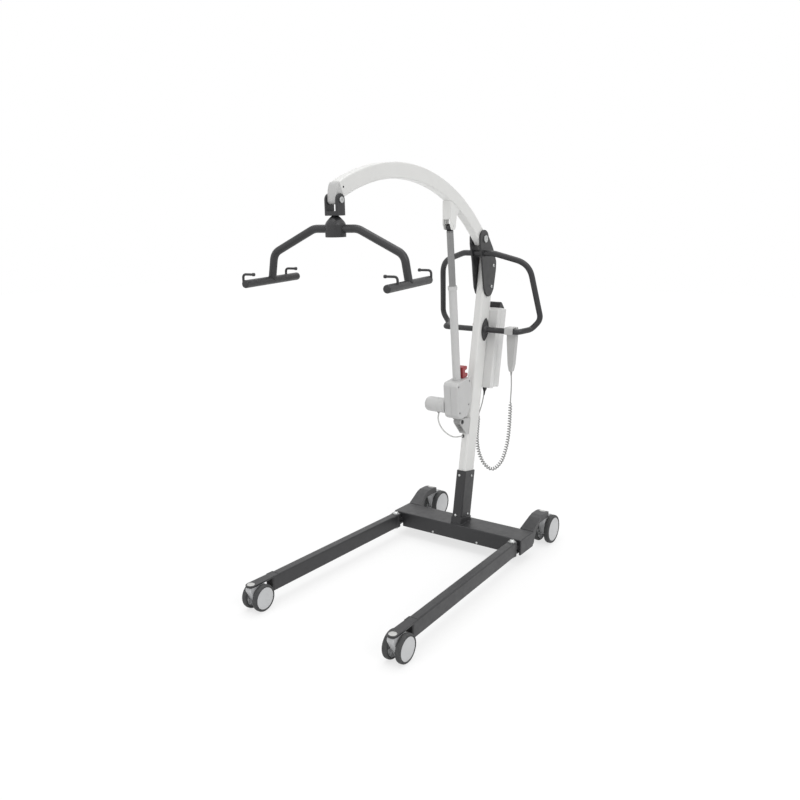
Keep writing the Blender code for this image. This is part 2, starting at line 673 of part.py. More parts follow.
def build_spreader():
    """The actuator in the crossbar: its eyes sit on the two crank pins and pull them together."""
    body_at = Matrix.Translation((-SPREADER_PIN_X, SPREADER_Y, SPREADER_Z))
    body_frame = axis_frame("spreader_body_frame", body_at)
    rod_at = Matrix.Translation((SPREADER_PIN_X, SPREADER_Y, SPREADER_Z))
    rod_frame = axis_frame("spreader_rod_frame", rod_at)
    half_eye = SPREADER_EYE_HEIGHT / 2.0
    tube_end = SPREADER_PIN_X + SPREADER_TUBE_END
    body = round_bar("spreader_actuator_body", SPREADER_TUBE_RADIUS, (0.020, 0, 0), (tube_end, 0, 0),
                     "grey_plastic", body_frame)
    eye_ends = ((0, 0, -half_eye), (0, 0, half_eye))
    eye = round_bar("spreader_body_eye", SPREADER_EYE_RADIUS, *eye_ends, "grey_plastic", body_frame,
                    segments=16)
    add(body, eye)
    neck = block("spreader_body_neck", (0.004, -0.007, -0.007), (0.024, 0.007, 0.007), "grey_plastic",
                 body_frame)
    add(body, neck)
    motor_y = SPREADER_TUBE_RADIUS + SPREADER_MOTOR_RADIUS + 0.004
    case_half = SPREADER_GEARCASE_HEIGHT / 2.0
    case_end = SPREADER_GEARCASE_START + SPREADER_GEARCASE_LENGTH
    gearcase = block("spreader_gearcase", (SPREADER_GEARCASE_START, -case_half, -case_half),
                     (case_end, motor_y + 0.012, case_half), "grey_plastic", body_frame)
    add(body, gearcase)
    motor_start = (case_end - 0.002, motor_y, 0.001)
    motor_end = (case_end - 0.002 + SPREADER_MOTOR_LENGTH, motor_y, 0.001)
    motor = round_bar("spreader_motor", SPREADER_MOTOR_RADIUS, motor_start, motor_end, "grey_plastic",
                      body_frame)
    add(body, motor)
    pin_hole = CRANK_PIN_RADIUS + 2.0 * RUNNING_FIT
    bore(body, pin_hole, (0, 0, -0.02), (0, 0, 0.02), body_frame)
    bore(body, SPREADER_ROD_RADIUS + RUNNING_FIT, (tube_end - SPREADER_BORE_DEPTH, 0, 0),
         (tube_end + 0.01, 0, 0), body_frame)
    rod_reach = SPREADER_PIN_X - SPREADER_TUBE_END + 0.060
    rod = round_bar("spreader_actuator_rod", SPREADER_ROD_RADIUS, (-rod_reach, 0, 0), (-0.006, 0, 0),
                    "zinc_steel", rod_frame, segments=16)
    rod_eye = round_bar("spreader_rod_eye", SPREADER_EYE_RADIUS, *eye_ends, "zinc_steel", rod_frame,
                        segments=16)
    add(rod, rod_eye)
    bore(rod, pin_hole, (0, 0, -0.02), (0, 0, 0.02), rod_frame)


def build_wheel(name, radius, width, frame, side):
    """One wheel about X, its closed hub face outwards and a blind axle bore inwards."""
    edge = TYRE_ROUNDING
    profile = [
        (0.0, width),
        (radius - edge, width),
        (radius, width - edge),
        (radius, edge),
        (radius - edge, 0.0),
        (AXLE_RADIUS + RUNNING_FIT, 0.0),
        (AXLE_RADIUS + RUNNING_FIT, AXLE_DEPTH_IN_WHEEL + GAP),
        (0.0, AXLE_DEPTH_IN_WHEEL + GAP),
    ]
    turned(name, profile, "tyre_rubber", frame, Matrix.Rotation(side * math.pi / 2.0, 4, "Y"), steps=18)


def build_caster(place_name, swivel, plate_low, stem_top, diameter, wheel_width, width, trail, pedal):
    """A twin-wheel caster: swivel body with stem, axle, two wheels and at the rear a brake pedal."""
    frame = axis_frame(place_name + "_swivel_axis", Matrix.Translation(swivel))
    radius = diameter / 2.0
    inner_half = width / 2.0 - wheel_width
    body_half = inner_half - 0.0010
    axle = (trail, radius)
    crown = plate_low - GAP - BEARING_HEIGHT
    hood = crown - radius
    outline = arc(axle, hood, -20.0, 90.0, 7)
    outline += [(-BEARING_RADIUS, crown), (-BEARING_RADIUS - 0.002, crown - 0.012)]
    outline += [(trail - radius * 0.55, radius * 0.95), (trail - radius * 0.30, radius * 0.62)]
    outline += [(trail + radius * 0.45, radius * 0.55)]
    body = slab(place_name + "_caster_body", outline, -body_half, body_half, SIDEWAYS, "grey_plastic",
                frame, rounding=0.002, segments=1)
    bearing = round_bar(place_name + "_bearing", BEARING_RADIUS, (0, 0, crown - 0.006),
                        (0, 0, crown + BEARING_HEIGHT), "grey_plastic", frame)
    add(body, bearing)
    stem = round_bar(place_name + "_stem", STEM_RADIUS, (0, 0, crown - 0.004), (0, 0, stem_top - GAP),
                     "grey_plastic", frame)
    add(body, stem)
    bore(body, AXLE_RADIUS + GAP, (-width, *axle), (width, *axle), frame)
    axle_half = inner_half + AXLE_DEPTH_IN_WHEEL
    round_bar(place_name + "_axle", AXLE_RADIUS, (-axle_half, *axle), (axle_half, *axle), "zinc_steel",
              frame, segments=12)
    for side, hand in ((-1.0, "left"), (1.0, "right")):
        wheel_frame = axis_frame(place_name + "_" + hand + "_wheel_axis",
                                 Matrix.Translation((side * inner_half, *axle)), frame)
        build_wheel(place_name + "_wheel_" + hand, radius, wheel_width, wheel_frame, side)
    if pedal:
        build_pedal(place_name, body, frame, body_half, axle, hood)


def build_pedal(place_name, body, frame, body_half, axle, hood):
    """The brake pedal: its barrel lies in a groove across the back of the caster body."""
    hinge = on_arc(axle, hood - 0.001, PEDAL_HINGE_ANGLE)
    pedal_frame = axis_frame(place_name + "_pedal_axis", Matrix.Translation((0.0, *hinge)), frame)
    groove = round_bar(place_name + "_pedal_groove", PEDAL_BARREL_RADIUS + RUNNING_FIT, (-0.03, *hinge),
                       (0.03, *hinge), "grey_plastic", frame)
    cut(body, groove)
    pedal = round_bar(place_name + "_brake_pedal", PEDAL_BARREL_RADIUS, (-body_half, 0, 0),
                      (body_half, 0, 0), "black_plastic", pedal_frame)
    tread = block(place_name + "_pedal_tread", (-body_half, 0.0, -PEDAL_THICKNESS / 2.0),
                  (body_half, PEDAL_LENGTH, PEDAL_THICKNESS / 2.0), "black_plastic", pedal_frame,
                  Matrix.Rotation(PEDAL_RISE, 4, "X"), rounding=0.0015, segments=1)
    add(pedal, tread)


def build_rear_arm(side):
    """A caster arm: it rises behind the crossbar and ends in a rounded plate over the caster."""
    name = "rear_arm_left" if side < 0 else "rear_arm_right"
    back = BAR_DEPTH / 2.0 + GAP
    low = REAR_PLATE_LOW
    high = low + REAR_ARM_RISE
    nose_y = REAR_SWIVEL_Y + REAR_ARM_NOSE_RADIUS
    profile = [
        (back, BAR_UNDERSIDE + 0.006), (back + 0.010, BAR_UNDERSIDE + 0.010),
        (back + 0.020, BAR_UNDERSIDE + 0.040), (back + 0.046, low - 0.014),
        (back + 0.066, low), (nose_y + 0.002, low), (nose_y + 0.002, low + 0.010),
        (nose_y - 0.014, high - 0.004), (nose_y - 0.040, high), (back + 0.088, high),
        (back + 0.066, high - 0.006), (back, BAR_TOP),
    ]
    outer = REAR_ARM_OUTER_X
    inner = outer - REAR_ARM_ROOT_WIDTH
    faces = sorted((side * (outer + 0.001), side * (inner - 0.001)))
    arm = slab(name, profile, faces[0], faces[1], SIDEWAYS, "dark_paint")
    radius = REAR_ARM_NOSE_RADIUS
    centre = (REAR_SWIVEL_X, REAR_SWIVEL_Y)
    plan = arc(centre, radius, 0.0, 180.0, 12)
    plan += [(REAR_SWIVEL_X - radius, back + 0.070), (inner, back - 0.005), (outer, back - 0.005)]
    plan = [(side * x, y) for x, y in plan]
    footprint = slab(name + "_footprint", plan, BAR_UNDERSIDE - 0.01, high + 0.01, FLAT, "dark_paint")
    combine(arm, footprint, "INTERSECT")
    swivel = (side * REAR_SWIVEL_X, REAR_SWIVEL_Y)
    bore(arm, STEM_RADIUS + RUNNING_FIT, (*swivel, low - 0.01), (*swivel, REAR_BORE_TOP))


def rounded_rectangle(width, depth, corner, steps=3):
    """A rectangle outline with round corners, about its middle."""
    points = []
    for sign_x, sign_y, start in ((1, 1, 0.0), (-1, 1, 90.0), (-1, -1, 180.0), (1, -1, 270.0)):
        centre = (sign_x * (width / 2.0 - corner), sign_y * (depth / 2.0 - corner))
        points += arc(centre, corner, start, start + 90.0, steps)
    return points


def build_mast(frame):
    mast_low = (BAR_TOP - MAST_DATUM_HEIGHT) / math.cos(MAST_LEAN)
    mast_low += MAST_DEPTH / 2.0 * math.tan(MAST_LEAN) + 0.001
    outer = rounded_rectangle(MAST_WIDTH, MAST_DEPTH, MAST_CORNER)
    inner_width = MAST_WIDTH - 2.0 * MAST_WALL
    inner = rounded_rectangle(inner_width, MAST_DEPTH - 2.0 * MAST_WALL, MAST_CORNER - MAST_WALL, 2)
    mast = slab("mast_tube", outer, mast_low, MAST_TOP, FLAT, "white_paint", frame, holes=(inner,))
    bar_at = HANDLE_BAR_ON_MAST.yz
    bore(mast, HANDLE_TUBE_RADIUS + GAP, (-0.04, *bar_at), (0.04, *bar_at), frame, segments=16)

    wall = SOCKET_WALL + GAP
    width = MAST_WIDTH + 2.0 * wall
    depth = MAST_DEPTH + 2.0 * wall
    below = mast_low - 0.020
    seat = rounded_rectangle(MAST_WIDTH + 2.0 * GAP, MAST_DEPTH + 2.0 * GAP, MAST_CORNER)
    socket = slab("mast_socket", rounded_rectangle(width, depth, SOCKET_CORNER, 2), below, SOCKET_TOP,
                  FLAT, "dark_paint", frame, holes=(seat,))
    lip = 2.0 * SOCKET_FOOT_LIP
    foot = slab("socket_foot", rounded_rectangle(width + lip, depth + lip, SOCKET_CORNER, 2), below,
                mast_low + SOCKET_FOOT_HEIGHT, FLAT, "dark_paint", frame)
    add(socket, foot)
    well = slab("socket_well", seat, mast_low - 0.002, SOCKET_TOP + 0.01, FLAT, "dark_paint", frame)
    cut(socket, well)
    floor_of_socket = BAR_TOP + GAP
    ground = block("socket_ground", (-0.1, -0.15, floor_of_socket - 0.1), (0.1, 0.15, floor_of_socket),
                   "dark_paint")
    cut(socket, ground)


def build_mast_head(frame):
    """Two plates that carry the boom pivot and the push handle's top tube."""
    top = MAST_TOP
    pivot = PIVOT_ON_MAST.yz
    outline = arc((pivot.x - 0.004, pivot.y), PLATE_HEAD_RADIUS, 25.0, 180.0, 6)
    outline += [(pivot.x - 0.034, pivot.y - 0.028), (HANDLE_TOP_ON_MAST.y - 0.005, top - 0.028)]
    outline += [(-0.066, top - 0.083), (-0.048, top - 0.130), (-0.030, top - 0.151)]
    outline += [(-0.006, top - PLATE_LENGTH_ON_MAST), (0.020, top - 0.152), (0.036, top - 0.124)]
    outline += [(0.040, top - 0.041), (0.036, top - 0.008), (-0.004, top + 0.042)]
    for side, hand in ((-1.0, "left"), (1.0, "right")):
        faces = sorted((side * PLATE_INNER, side * PLATE_OUTER))
        plate = slab("mast_plate_" + hand, outline, faces[0], faces[1], SIDEWAYS, "dark_paint", frame,
                     rounding=0.0015, segments=1)
        bore(plate, PIVOT_PIN_RADIUS + GAP, (-0.05, *pivot), (0.05, *pivot), frame)
        handle_at = HANDLE_TOP_ON_MAST.yz
        bore(plate, HANDLE_TUBE_RADIUS + GAP, (-0.05, *handle_at), (0.05, *handle_at), frame, segments=16)
    head = PLATE_OUTER + GAP
    profile = [
        (0.0, head + PIVOT_PIN_HEAD), (PIVOT_PIN_HEAD_RADIUS, head + PIVOT_PIN_HEAD),
        (PIVOT_PIN_HEAD_RADIUS, head), (PIVOT_PIN_RADIUS, head), (PIVOT_PIN_RADIUS, -head),
        (PIVOT_PIN_HEAD_RADIUS, -head), (PIVOT_PIN_HEAD_RADIUS, -head - PIVOT_PIN_HEAD),
        (0.0, -head - PIVOT_PIN_HEAD),
    ]
    turned("boom_pivot_pin", profile, "zinc_steel", matrix=Matrix.Translation(BOOM_PIVOT) @ ABOUT_X,
           steps=16)


def leaf(length, width, steps=5):
    """A lens-shaped outline, pointed at both ends, in (Y, Z) about its middle."""
    radius = (length ** 2 + width ** 2) / (4.0 * width)
    half_angle = math.degrees(math.asin(length / 2.0 / radius))
    right = arc((width / 2.0 - radius, 0.0), radius, -half_angle, half_angle, steps)
    left = arc((radius - width / 2.0, 0.0), radius, 180.0 - half_angle, 180.0 + half_angle, steps)
    return right + left[1:-1]


def build_push_handle(frame):
    """One closed loop of tube through the head plates and, low down, through the mast."""
    top = HANDLE_TOP_ON_MAST
    low = HANDLE_BAR_ON_MAST
    shoulder_x = HANDLE_HALF_WIDTH - HANDLE_SHOULDER_INSET
    side_corners = [
        ((HANDLE_TOP_STRAIGHT, top.y, top.z), HANDLE_TOP_BEND),
        ((shoulder_x, top.y + HANDLE_SHOULDER_BACK, top.z - HANDLE_SHOULDER_DROP), HANDLE_SHOULDER_BEND),
        ((HANDLE_HALF_WIDTH, low.y + HANDLE_ELBOW_BACK, low.z + HANDLE_ELBOW_RISE), HANDLE_ELBOW_BEND),
        ((HANDLE_HALF_WIDTH - HANDLE_WRIST_INSET, low.y + HANDLE_WRIST_BACK, low.z + HANDLE_WRIST_RISE),
         HANDLE_WRIST_BEND),
        ((HANDLE_HALF_WIDTH - HANDLE_BAR_INSET, low.y, low.z), HANDLE_BAR_BEND),
    ]
    corners = [point for point, radius in side_corners]
    radii = [radius for point, radius in side_corners]
    corners += [(-x, y, z) for x, y, z in reversed(corners)]
    radii += list(reversed(radii))
    path = rounded_path(corners, radii, steps=3, closed=True)
    handle = tube("push_handle", path, HANDLE_TUBE_RADIUS, "dark_paint", frame, closed=True, sides=2)
    add_handle_flanges(handle, frame)


def add_handle_flanges(handle, frame):
    """The leaf-shaped flanges welded to the low bar, one on each side of the mast."""
    bar = HANDLE_BAR_ON_MAST
    outline = [(bar.y + across, bar.z + up) for across, up in leaf(FLANGE_LENGTH, FLANGE_WIDTH)]
    near = MAST_WIDTH / 2.0 + GAP
    for side in (-1.0, 1.0):
        faces = sorted((side * near, side * (near + FLANGE_THICKNESS)))
        flange = slab("handle_flange", outline, faces[0], faces[1], SIDEWAYS, "dark_paint", frame)
        add(handle, flange)


def build_boom(frame):
    """The curved boom tube, drawn as its side outline and given its width."""
    half = BOOM_DEPTH / 2.0
    outline = arc(REAR_ARC_CENTRE, BOOM_REAR_RADIUS + half, PIVOT_ANGLE, 90.0, BOOM_REAR_STEPS)
    outline += arc(FRONT_ARC_CENTRE, BOOM_FRONT_RADIUS + half, 90.0, TIP_ANGLE, BOOM_FRONT_STEPS)[1:]
    outline += arc(FRONT_ARC_CENTRE, BOOM_FRONT_RADIUS - half, TIP_ANGLE, 90.0, BOOM_FRONT_STEPS)
    outline += arc(REAR_ARC_CENTRE, BOOM_REAR_RADIUS - half, 90.0, PIVOT_ANGLE, BOOM_REAR_STEPS)[1:]
    outline += arc((0.0, 0.0), half, PIVOT_ANGLE - 180.0, PIVOT_ANGLE, 8)[1:-1]
    boom = slab("boom_tube", outline, -BOOM_WIDTH / 2.0, BOOM_WIDTH / 2.0, SIDEWAYS, "white_paint", frame,
                rounding=BOOM_CORNER, segments=2)
    bore(boom, PIVOT_PIN_RADIUS + RUNNING_FIT, (-0.04, 0, 0), (0.04, 0, 0), frame)


def build_boom_nose(frame):
    """The dark end plate of the boom, whose lower end is the lug that the hanger's clevis hangs on."""
    half = BOOM_DEPTH / 2.0
    pin = (HANGER_PIN - BOOM_PIVOT).yz
    along = math.radians(TIP_ANGLE + 90.0)
    ahead = Vector((math.cos(along), math.sin(along)))
    up = Vector((math.cos(along - math.pi / 2.0), math.sin(along - math.pi / 2.0)))
    end = Vector(BOOM_END)
    face_top = end + ahead * GAP + up * (half - 0.001)
    face_low = end + ahead * GAP - up * (half - 0.004)
    outline = [tuple(face_top), tuple(face_top + ahead * (NOSE_PLATE - 0.002))]
    outline += [tuple(face_top + ahead * NOSE_PLATE - up * 0.006)]
    outline += arc(pin, NOSE_LUG_RADIUS, 175.0, 395.0, 10)
    outline += [tuple(face_low)]
    nose = slab("boom_nose", outline, -BOOM_WIDTH / 2.0, BOOM_WIDTH / 2.0, SIDEWAYS, "grey_plastic", frame,
                rounding=0.0015, segments=1)
    bore(nose, HANGER_PIN_RADIUS + RUNNING_FIT, (-0.04, *pin), (0.04, *pin), frame)


def build_boom_bracket(frame):
    """The channel under the boom that the actuator's eye sits in."""
    eye = Vector((-EYE_AHEAD_OF_BOOM_PIVOT, EYE_ABOVE_BOOM_PIVOT))
    front = eye.x - BOOM_BRACKET_FRONT
    back = eye.x + BOOM_BRACKET_BACK
    web_low = eye.y + BOOM_BRACKET_WEB_ABOVE_EYE
    outline = [(front, eye.y + 0.130), (front, eye.y + 0.012), (eye.x - 0.015, eye.y - 0.0095)]
    outline += [(eye.x + 0.009, eye.y - 0.0095), (eye.x + 0.0155, eye.y), (eye.x + 0.0215, eye.y + 0.046)]
    outline += [(back, eye.y + 0.066), (back, eye.y + 0.130)]
    outer = BOOM_WIDTH / 2.0
    bracket = slab("boom_actuator_bracket", outline, -outer, outer, SIDEWAYS, "grey_plastic", frame,
                   rounding=0.001, segments=1)
    inner = outer - BOOM_BRACKET_PLATE
    web_back = front + BOOM_BRACKET_PLATE
    inside = [(web_back, 1.0), (web_back, web_low), (front - 0.02, web_low)]
    inside += [(front - 0.02, -0.1), (back + 0.02, -0.1), (back + 0.02, 1.0)]
    channel = slab("bracket_channel", inside, -inner, inner, SIDEWAYS, "grey_plastic", frame)
    cut(bracket, channel)
    underside = BOOM_REAR_RADIUS - BOOM_DEPTH / 2.0 - GAP
    seat = arc(REAR_ARC_CENTRE, underside, PIVOT_ANGLE, 90.0, BOOM_REAR_STEPS)
    seat += [(-BOOM_APEX_AHEAD, BOOM_APEX_RISE + 0.2), (0.1, BOOM_APEX_RISE + 0.2)]
    boom_above = slab("boom_above_bracket", seat, -0.05, 0.05, SIDEWAYS, "grey_plastic", frame)
    cut(bracket, boom_above)
    for side in (-1.0, 1.0):
        boss_inner = side * (ROD_EYE_HALF_WIDTH + GAP)
        boss_outer = side * (outer + BOOM_BRACKET_BOSS_HEIGHT)
        boss = round_bar("bracket_boss", BOOM_BRACKET_BOSS_RADIUS, (boss_inner, *eye), (boss_outer, *eye),
                         "grey_plastic", frame)
        add(bracket, boss)


def build_hanger(clevis_frame, spin_frame):
    """Clevis with its swivel stem, and below it the hub, arm tube and hooked cross bars."""
    ear_inner = BOOM_WIDTH / 2.0 + GAP
    ear_outer = ear_inner + CLEVIS_EAR_THICKNESS
    half = CLEVIS_EAR_WIDTH / 2.0
    ear = arc((0.0, 0.0), half, 0.0, 180.0, 10) + [(-half, -CLEVIS_DROP), (half, -CLEVIS_DROP)]
    clevis = slab("swivel_clevis", ear, -ear_outer, ear_outer, SIDEWAYS, "dark_paint", clevis_frame,
                  rounding=0.002, segments=1)
    base_top = -CLEVIS_DROP + CLEVIS_BASE_THICKNESS
    fork = block("clevis_fork", (-ear_inner, -0.05, base_top), (ear_inner, 0.05, 0.05), "dark_paint",
                 clevis_frame)
    cut(clevis, fork)
    hub_top = -CLEVIS_DROP - GAP
    arm_z = hub_top - ARM_BELOW_HUB_TOP
    stem_low = arm_z + ARM_TUBE_RADIUS + 0.002
    stem = round_bar("swivel_stem", SWIVEL_STEM_RADIUS, (0, 0, base_top - 0.005), (0, 0, stem_low),
                     "dark_paint", clevis_frame)
    add(clevis, stem)
    bore(clevis, HANGER_PIN_RADIUS + GAP, (-0.05, 0, 0), (0.05, 0, 0), clevis_frame)
    head = ear_outer + GAP
    profile = [
        (0.0, head + HANGER_PIN_HEAD), (HANGER_PIN_HEAD_RADIUS, head + HANGER_PIN_HEAD),
        (HANGER_PIN_HEAD_RADIUS, head),
        (HANGER_PIN_RADIUS, head), (HANGER_PIN_RADIUS, -head), (HANGER_PIN_HEAD_RADIUS, -head),
        (HANGER_PIN_HEAD_RADIUS, -head - HANGER_PIN_HEAD), (0.0, -head - HANGER_PIN_HEAD),
    ]
    turned("clevis_pin", profile, "zinc_steel", clevis_frame, ABOUT_X, steps=14)

    cone_foot = hub_top - HUB_CONE_HEIGHT
    hub_profile = [
        (0.0, hub_top), (HUB_TOP_RADIUS, hub_top), (HUB_RADIUS - 0.003, cone_foot + 0.003),
        (HUB_RADIUS, cone_foot - 0.002), (HUB_RADIUS, hub_top - HUB_HEIGHT), (0.0, hub_top - HUB_HEIGHT),
    ]
    hub = turned("swivel_hub", hub_profile, "dark_paint", spin_frame, steps=20)
    bore(hub, SWIVEL_STEM_RADIUS + RUNNING_FIT, (0, 0, stem_low - GAP), (0, 0, hub_top + 0.01), spin_frame)
    bore(hub, ARM_TUBE_RADIUS + GAP, (-0.05, 0, arm_z), (0.05, 0, arm_z), spin_frame, segments=16)

    bar_z = arm_z - BAR_DROP
    elbow_z = arm_z - ARM_ELBOW_DROP
    half_path = [(BAR_OUT, 0.0, bar_z), (ARM_ELBOW_OUT, 0.0, elbow_z), (ARM_SHOULDER, 0.0, arm_z)]
    radii = [0.0, 0.045, 0.060]
    corners = half_path + [(-x, y, z) for x, y, z in reversed(half_path)]
    path = rounded_path(corners, radii + list(reversed(radii)), steps=4)
    arm = tube("sling_arm", path, ARM_TUBE_RADIUS, "dark_paint", spin_frame, sides=2)
    for side, hand in ((-1.0, "left"), (1.0, "right")):
        x = side * BAR_OUT
        ends = ((x, -0.05, bar_z), (x, 0.05, bar_z))
        saddle = round_bar("arm_saddle", CROSS_BAR_RADIUS + GAP, *ends, "dark_paint", spin_frame,
                           segments=16)
        cut(arm, saddle)
        below = block("below_arm", (x - 0.03, -0.03, bar_z - 0.03), (x + 0.03, 0.03, bar_z + 0.002),
                      "dark_paint", spin_frame)
        cut(arm, below)
        build_cross_bar(side, hand, spin_frame, bar_z)


def build_cross_bar(side, hand, frame, bar_z):
    """A cross bar with two inward hooks; the right one is the left one turned about the hub."""
    turn = Matrix.Identity(4) if side < 0 else Matrix.Rotation(math.pi, 4, "Z")
    x = -BAR_OUT
    length = CROSS_BAR_HALF_LENGTH
    radius = CROSS_BAR_RADIUS
    profile = [(0.0, length), (radius - 0.003, length), (radius, length - 0.003), (radius, -length + 0.003),
               (radius - 0.003, -length), (0.0, -length)]
    along_y = turn @ Matrix.Translation((x, 0.0, bar_z)) @ Matrix.Rotation(math.pi / 2.0, 4, "X")
    bar = turned("cross_bar_" + hand, profile, "dark_paint", frame, along_y, steps=14)
    for y in (-HOOK_NEAR_END, HOOK_FAR_SIDE):
        root = x - HOOK_OFFSET
        corners = [(root, y, bar_z), (root, y, bar_z + HOOK_RISE), (root + HOOK_REACH, y, bar_z + HOOK_RISE)]
        path = rounded_path(corners, [0.0, HOOK_BEND, 0.0], steps=3)
        hook = tube("hook_rod", path, HOOK_ROD_RADIUS, "dark_paint", frame, turn, sides=1)
        add(bar, hook)
        tip = round_bar("hook_tip", HOOK_TIP_RADIUS, (root + HOOK_REACH - 0.006, y, bar_z + HOOK_RISE),
                        (root + HOOK_REACH + 0.003, y, bar_z + HOOK_RISE), "dark_paint", frame, turn,
                        segments=10)
        add(bar, tip)


def build_actuator_bracket(frame):
    """The forked bracket on the mast's front that carries the actuator's lower pin."""
    face = -MAST_DEPTH / 2.0 - GAP
    pin = Vector((-ACTUATOR_PIN_AHEAD, ACTUATOR_PIN_UP_MAST))
    outer = ACTUATOR_LUG_HALF_WIDTH + GAP + CHEEK_THICKNESS
    foot_z = pin.y - BRACKET_DROP
    outline = [(face, pin.y + BRACKET_RISE), (face, foot_z), (face - BRACKET_FOOT, foot_z)]
    outline += arc(tuple(pin), ACTUATOR_LUG_RADIUS, 230.0, 80.0, 7)
    bracket = slab("actuator_mast_bracket", outline, -outer, outer, SIDEWAYS, "grey_plastic", frame,
                   rounding=0.001, segments=1)
    inner = ACTUATOR_LUG_HALF_WIDTH + GAP
    fork_high = (inner, face - BRACKET_BASE_THICKNESS, pin.y + 0.1)
    fork = block("bracket_fork", (-inner, -0.3, pin.y - 0.2), fork_high, "grey_plastic", frame)
    cut(bracket, fork)
    bore(bracket, ACTUATOR_PIN_RADIUS + GAP, (-0.05, *pin), (0.05, *pin), frame)
    head = outer + GAP
    profile = [
        (0.0, head + ACTUATOR_PIN_HEAD), (ACTUATOR_PIN_HEAD_RADIUS, head + ACTUATOR_PIN_HEAD),
        (ACTUATOR_PIN_HEAD_RADIUS, head), (ACTUATOR_PIN_RADIUS, head), (ACTUATOR_PIN_RADIUS, -head),
        (ACTUATOR_PIN_HEAD_RADIUS, -head), (ACTUATOR_PIN_HEAD_RADIUS, -head - ACTUATOR_PIN_HEAD),
        (0.0, -head - ACTUATOR_PIN_HEAD),
    ]
    turned("actuator_lower_pin", profile, "zinc_steel", matrix=Matrix.Translation(ACTUATOR_PIN) @ ABOUT_X,
           steps=14)


def build_actuator(frame, rod_frame, knob_frame):
    """Gearbox, motor and outer tube about the lower pin, with the rod sliding in the tube."""
    half = GEARBOX_WIDTH / 2.0
    front = -GEARBOX_FRONT
    back = GEARBOX_BACK
    bottom = GEARBOX_BOTTOM
    outline = [(front + 0.004, bottom + 0.012), (front + 0.020, bottom), (back - 0.045, bottom)]
    outline += [(back - 0.006, bottom + 0.040), (back, bottom + 0.055), (back, GEARBOX_TOP)]
    outline += [(front + 0.010, GEARBOX_TOP), (front, GEARBOX_TOP - 0.012), (front, bottom + 0.020)]
    gearbox = slab("actuator_gearbox", outline, -half, half, SIDEWAYS, "grey_plastic", frame,
                   rounding=0.006, segments=2)
    lug = round_bar("gearbox_lug", ACTUATOR_LUG_RADIUS, (-ACTUATOR_LUG_HALF_WIDTH, 0, 0),
                    (ACTUATOR_LUG_HALF_WIDTH, 0, 0), "grey_plastic", frame)
    neck_half = ACTUATOR_LUG_HALF_WIDTH - 0.001
    neck = block("gearbox_neck", (-neck_half, -neck_half, 0.0), (neck_half, neck_half, bottom + 0.020),
                 "grey_plastic", frame)
    add(lug, neck)
    add(gearbox, lug)
    bore(gearbox, ACTUATOR_PIN_RADIUS + RUNNING_FIT, (-0.05, 0, 0), (0.05, 0, 0), frame)

    radius = MOTOR_RADIUS
    start = half + GAP
    end = start + MOTOR_LENGTH
    profile = [(0.0, end), (radius * 0.45, end), (radius * 0.80, end - 0.006), (radius, end - 0.018),
               (radius, start + 0.004), (radius - 0.002, start), (0.0, start)]
    motor_at = Matrix.Translation((0.0, -MOTOR_AHEAD, MOTOR_UP)) @ Matrix.Rotation(-math.pi / 2.0, 4, "Y")
    turned("actuator_motor", profile, "grey_plastic", frame, motor_at, steps=22)

    low = GEARBOX_TOP + GAP
    collar = ACTUATOR_TUBE_TOP - ACTUATOR_COLLAR_HEIGHT
    bore_radius = ACTUATOR_ROD_RADIUS + RUNNING_FIT
    profile = [(bore_radius, ACTUATOR_TUBE_TOP), (ACTUATOR_COLLAR_RADIUS - 0.001, ACTUATOR_TUBE_TOP),
               (ACTUATOR_COLLAR_RADIUS, ACTUATOR_TUBE_TOP - 0.001), (ACTUATOR_COLLAR_RADIUS, collar),
               (ACTUATOR_TUBE_RADIUS, collar - 0.002), (ACTUATOR_TUBE_RADIUS, low), (bore_radius, low)]
    turned("actuator_tube", profile, "white_paint", frame, steps=20, closed=True)

    rod_low = GEARBOX_TOP + 2.0 * GAP + ROD_STROKE_DOWN - ACTUATOR_LENGTH
    rod = round_bar("actuator_rod", ACTUATOR_ROD_RADIUS, (0, 0, rod_low), (0, 0, -ROD_EYE_RADIUS * 0.4),
                    "zinc_steel", rod_frame, segments=20)
    eye = round_bar("rod_eye", ROD_EYE_RADIUS, (-ROD_EYE_HALF_WIDTH, 0, 0), (ROD_EYE_HALF_WIDTH, 0, 0),
                    "zinc_steel", rod_frame)
    add(rod, eye)
    for side in (-1.0, 1.0):
        flats = sorted((side * ROD_EYE_HALF_WIDTH, side * 0.03))
        flat = block("eye_flat", (flats[0], -0.03, -0.020), (flats[1], 0.03, 0.02), "zinc_steel", rod_frame)
        cut(rod, flat)
    bore(rod, EYE_HOLE_RADIUS, (-0.03, 0, 0), (0.03, 0, 0), rod_frame)

    rim = LOWERING_KNOB_RADIUS
    neck_radius = LOWERING_KNOB_NECK_RADIUS
    height = LOWERING_KNOB_HEIGHT
    profile = [(0.0, height), (rim - 0.002, height), (rim, height - 0.003), (rim, height - 0.015),
               (neck_radius, height - 0.019), (neck_radius, 0.016), (rim, 0.012), (rim, 0.0), (0.0, 0.0)]
    turned("lowering_knob", profile, "red_plastic", knob_frame, steps=16)


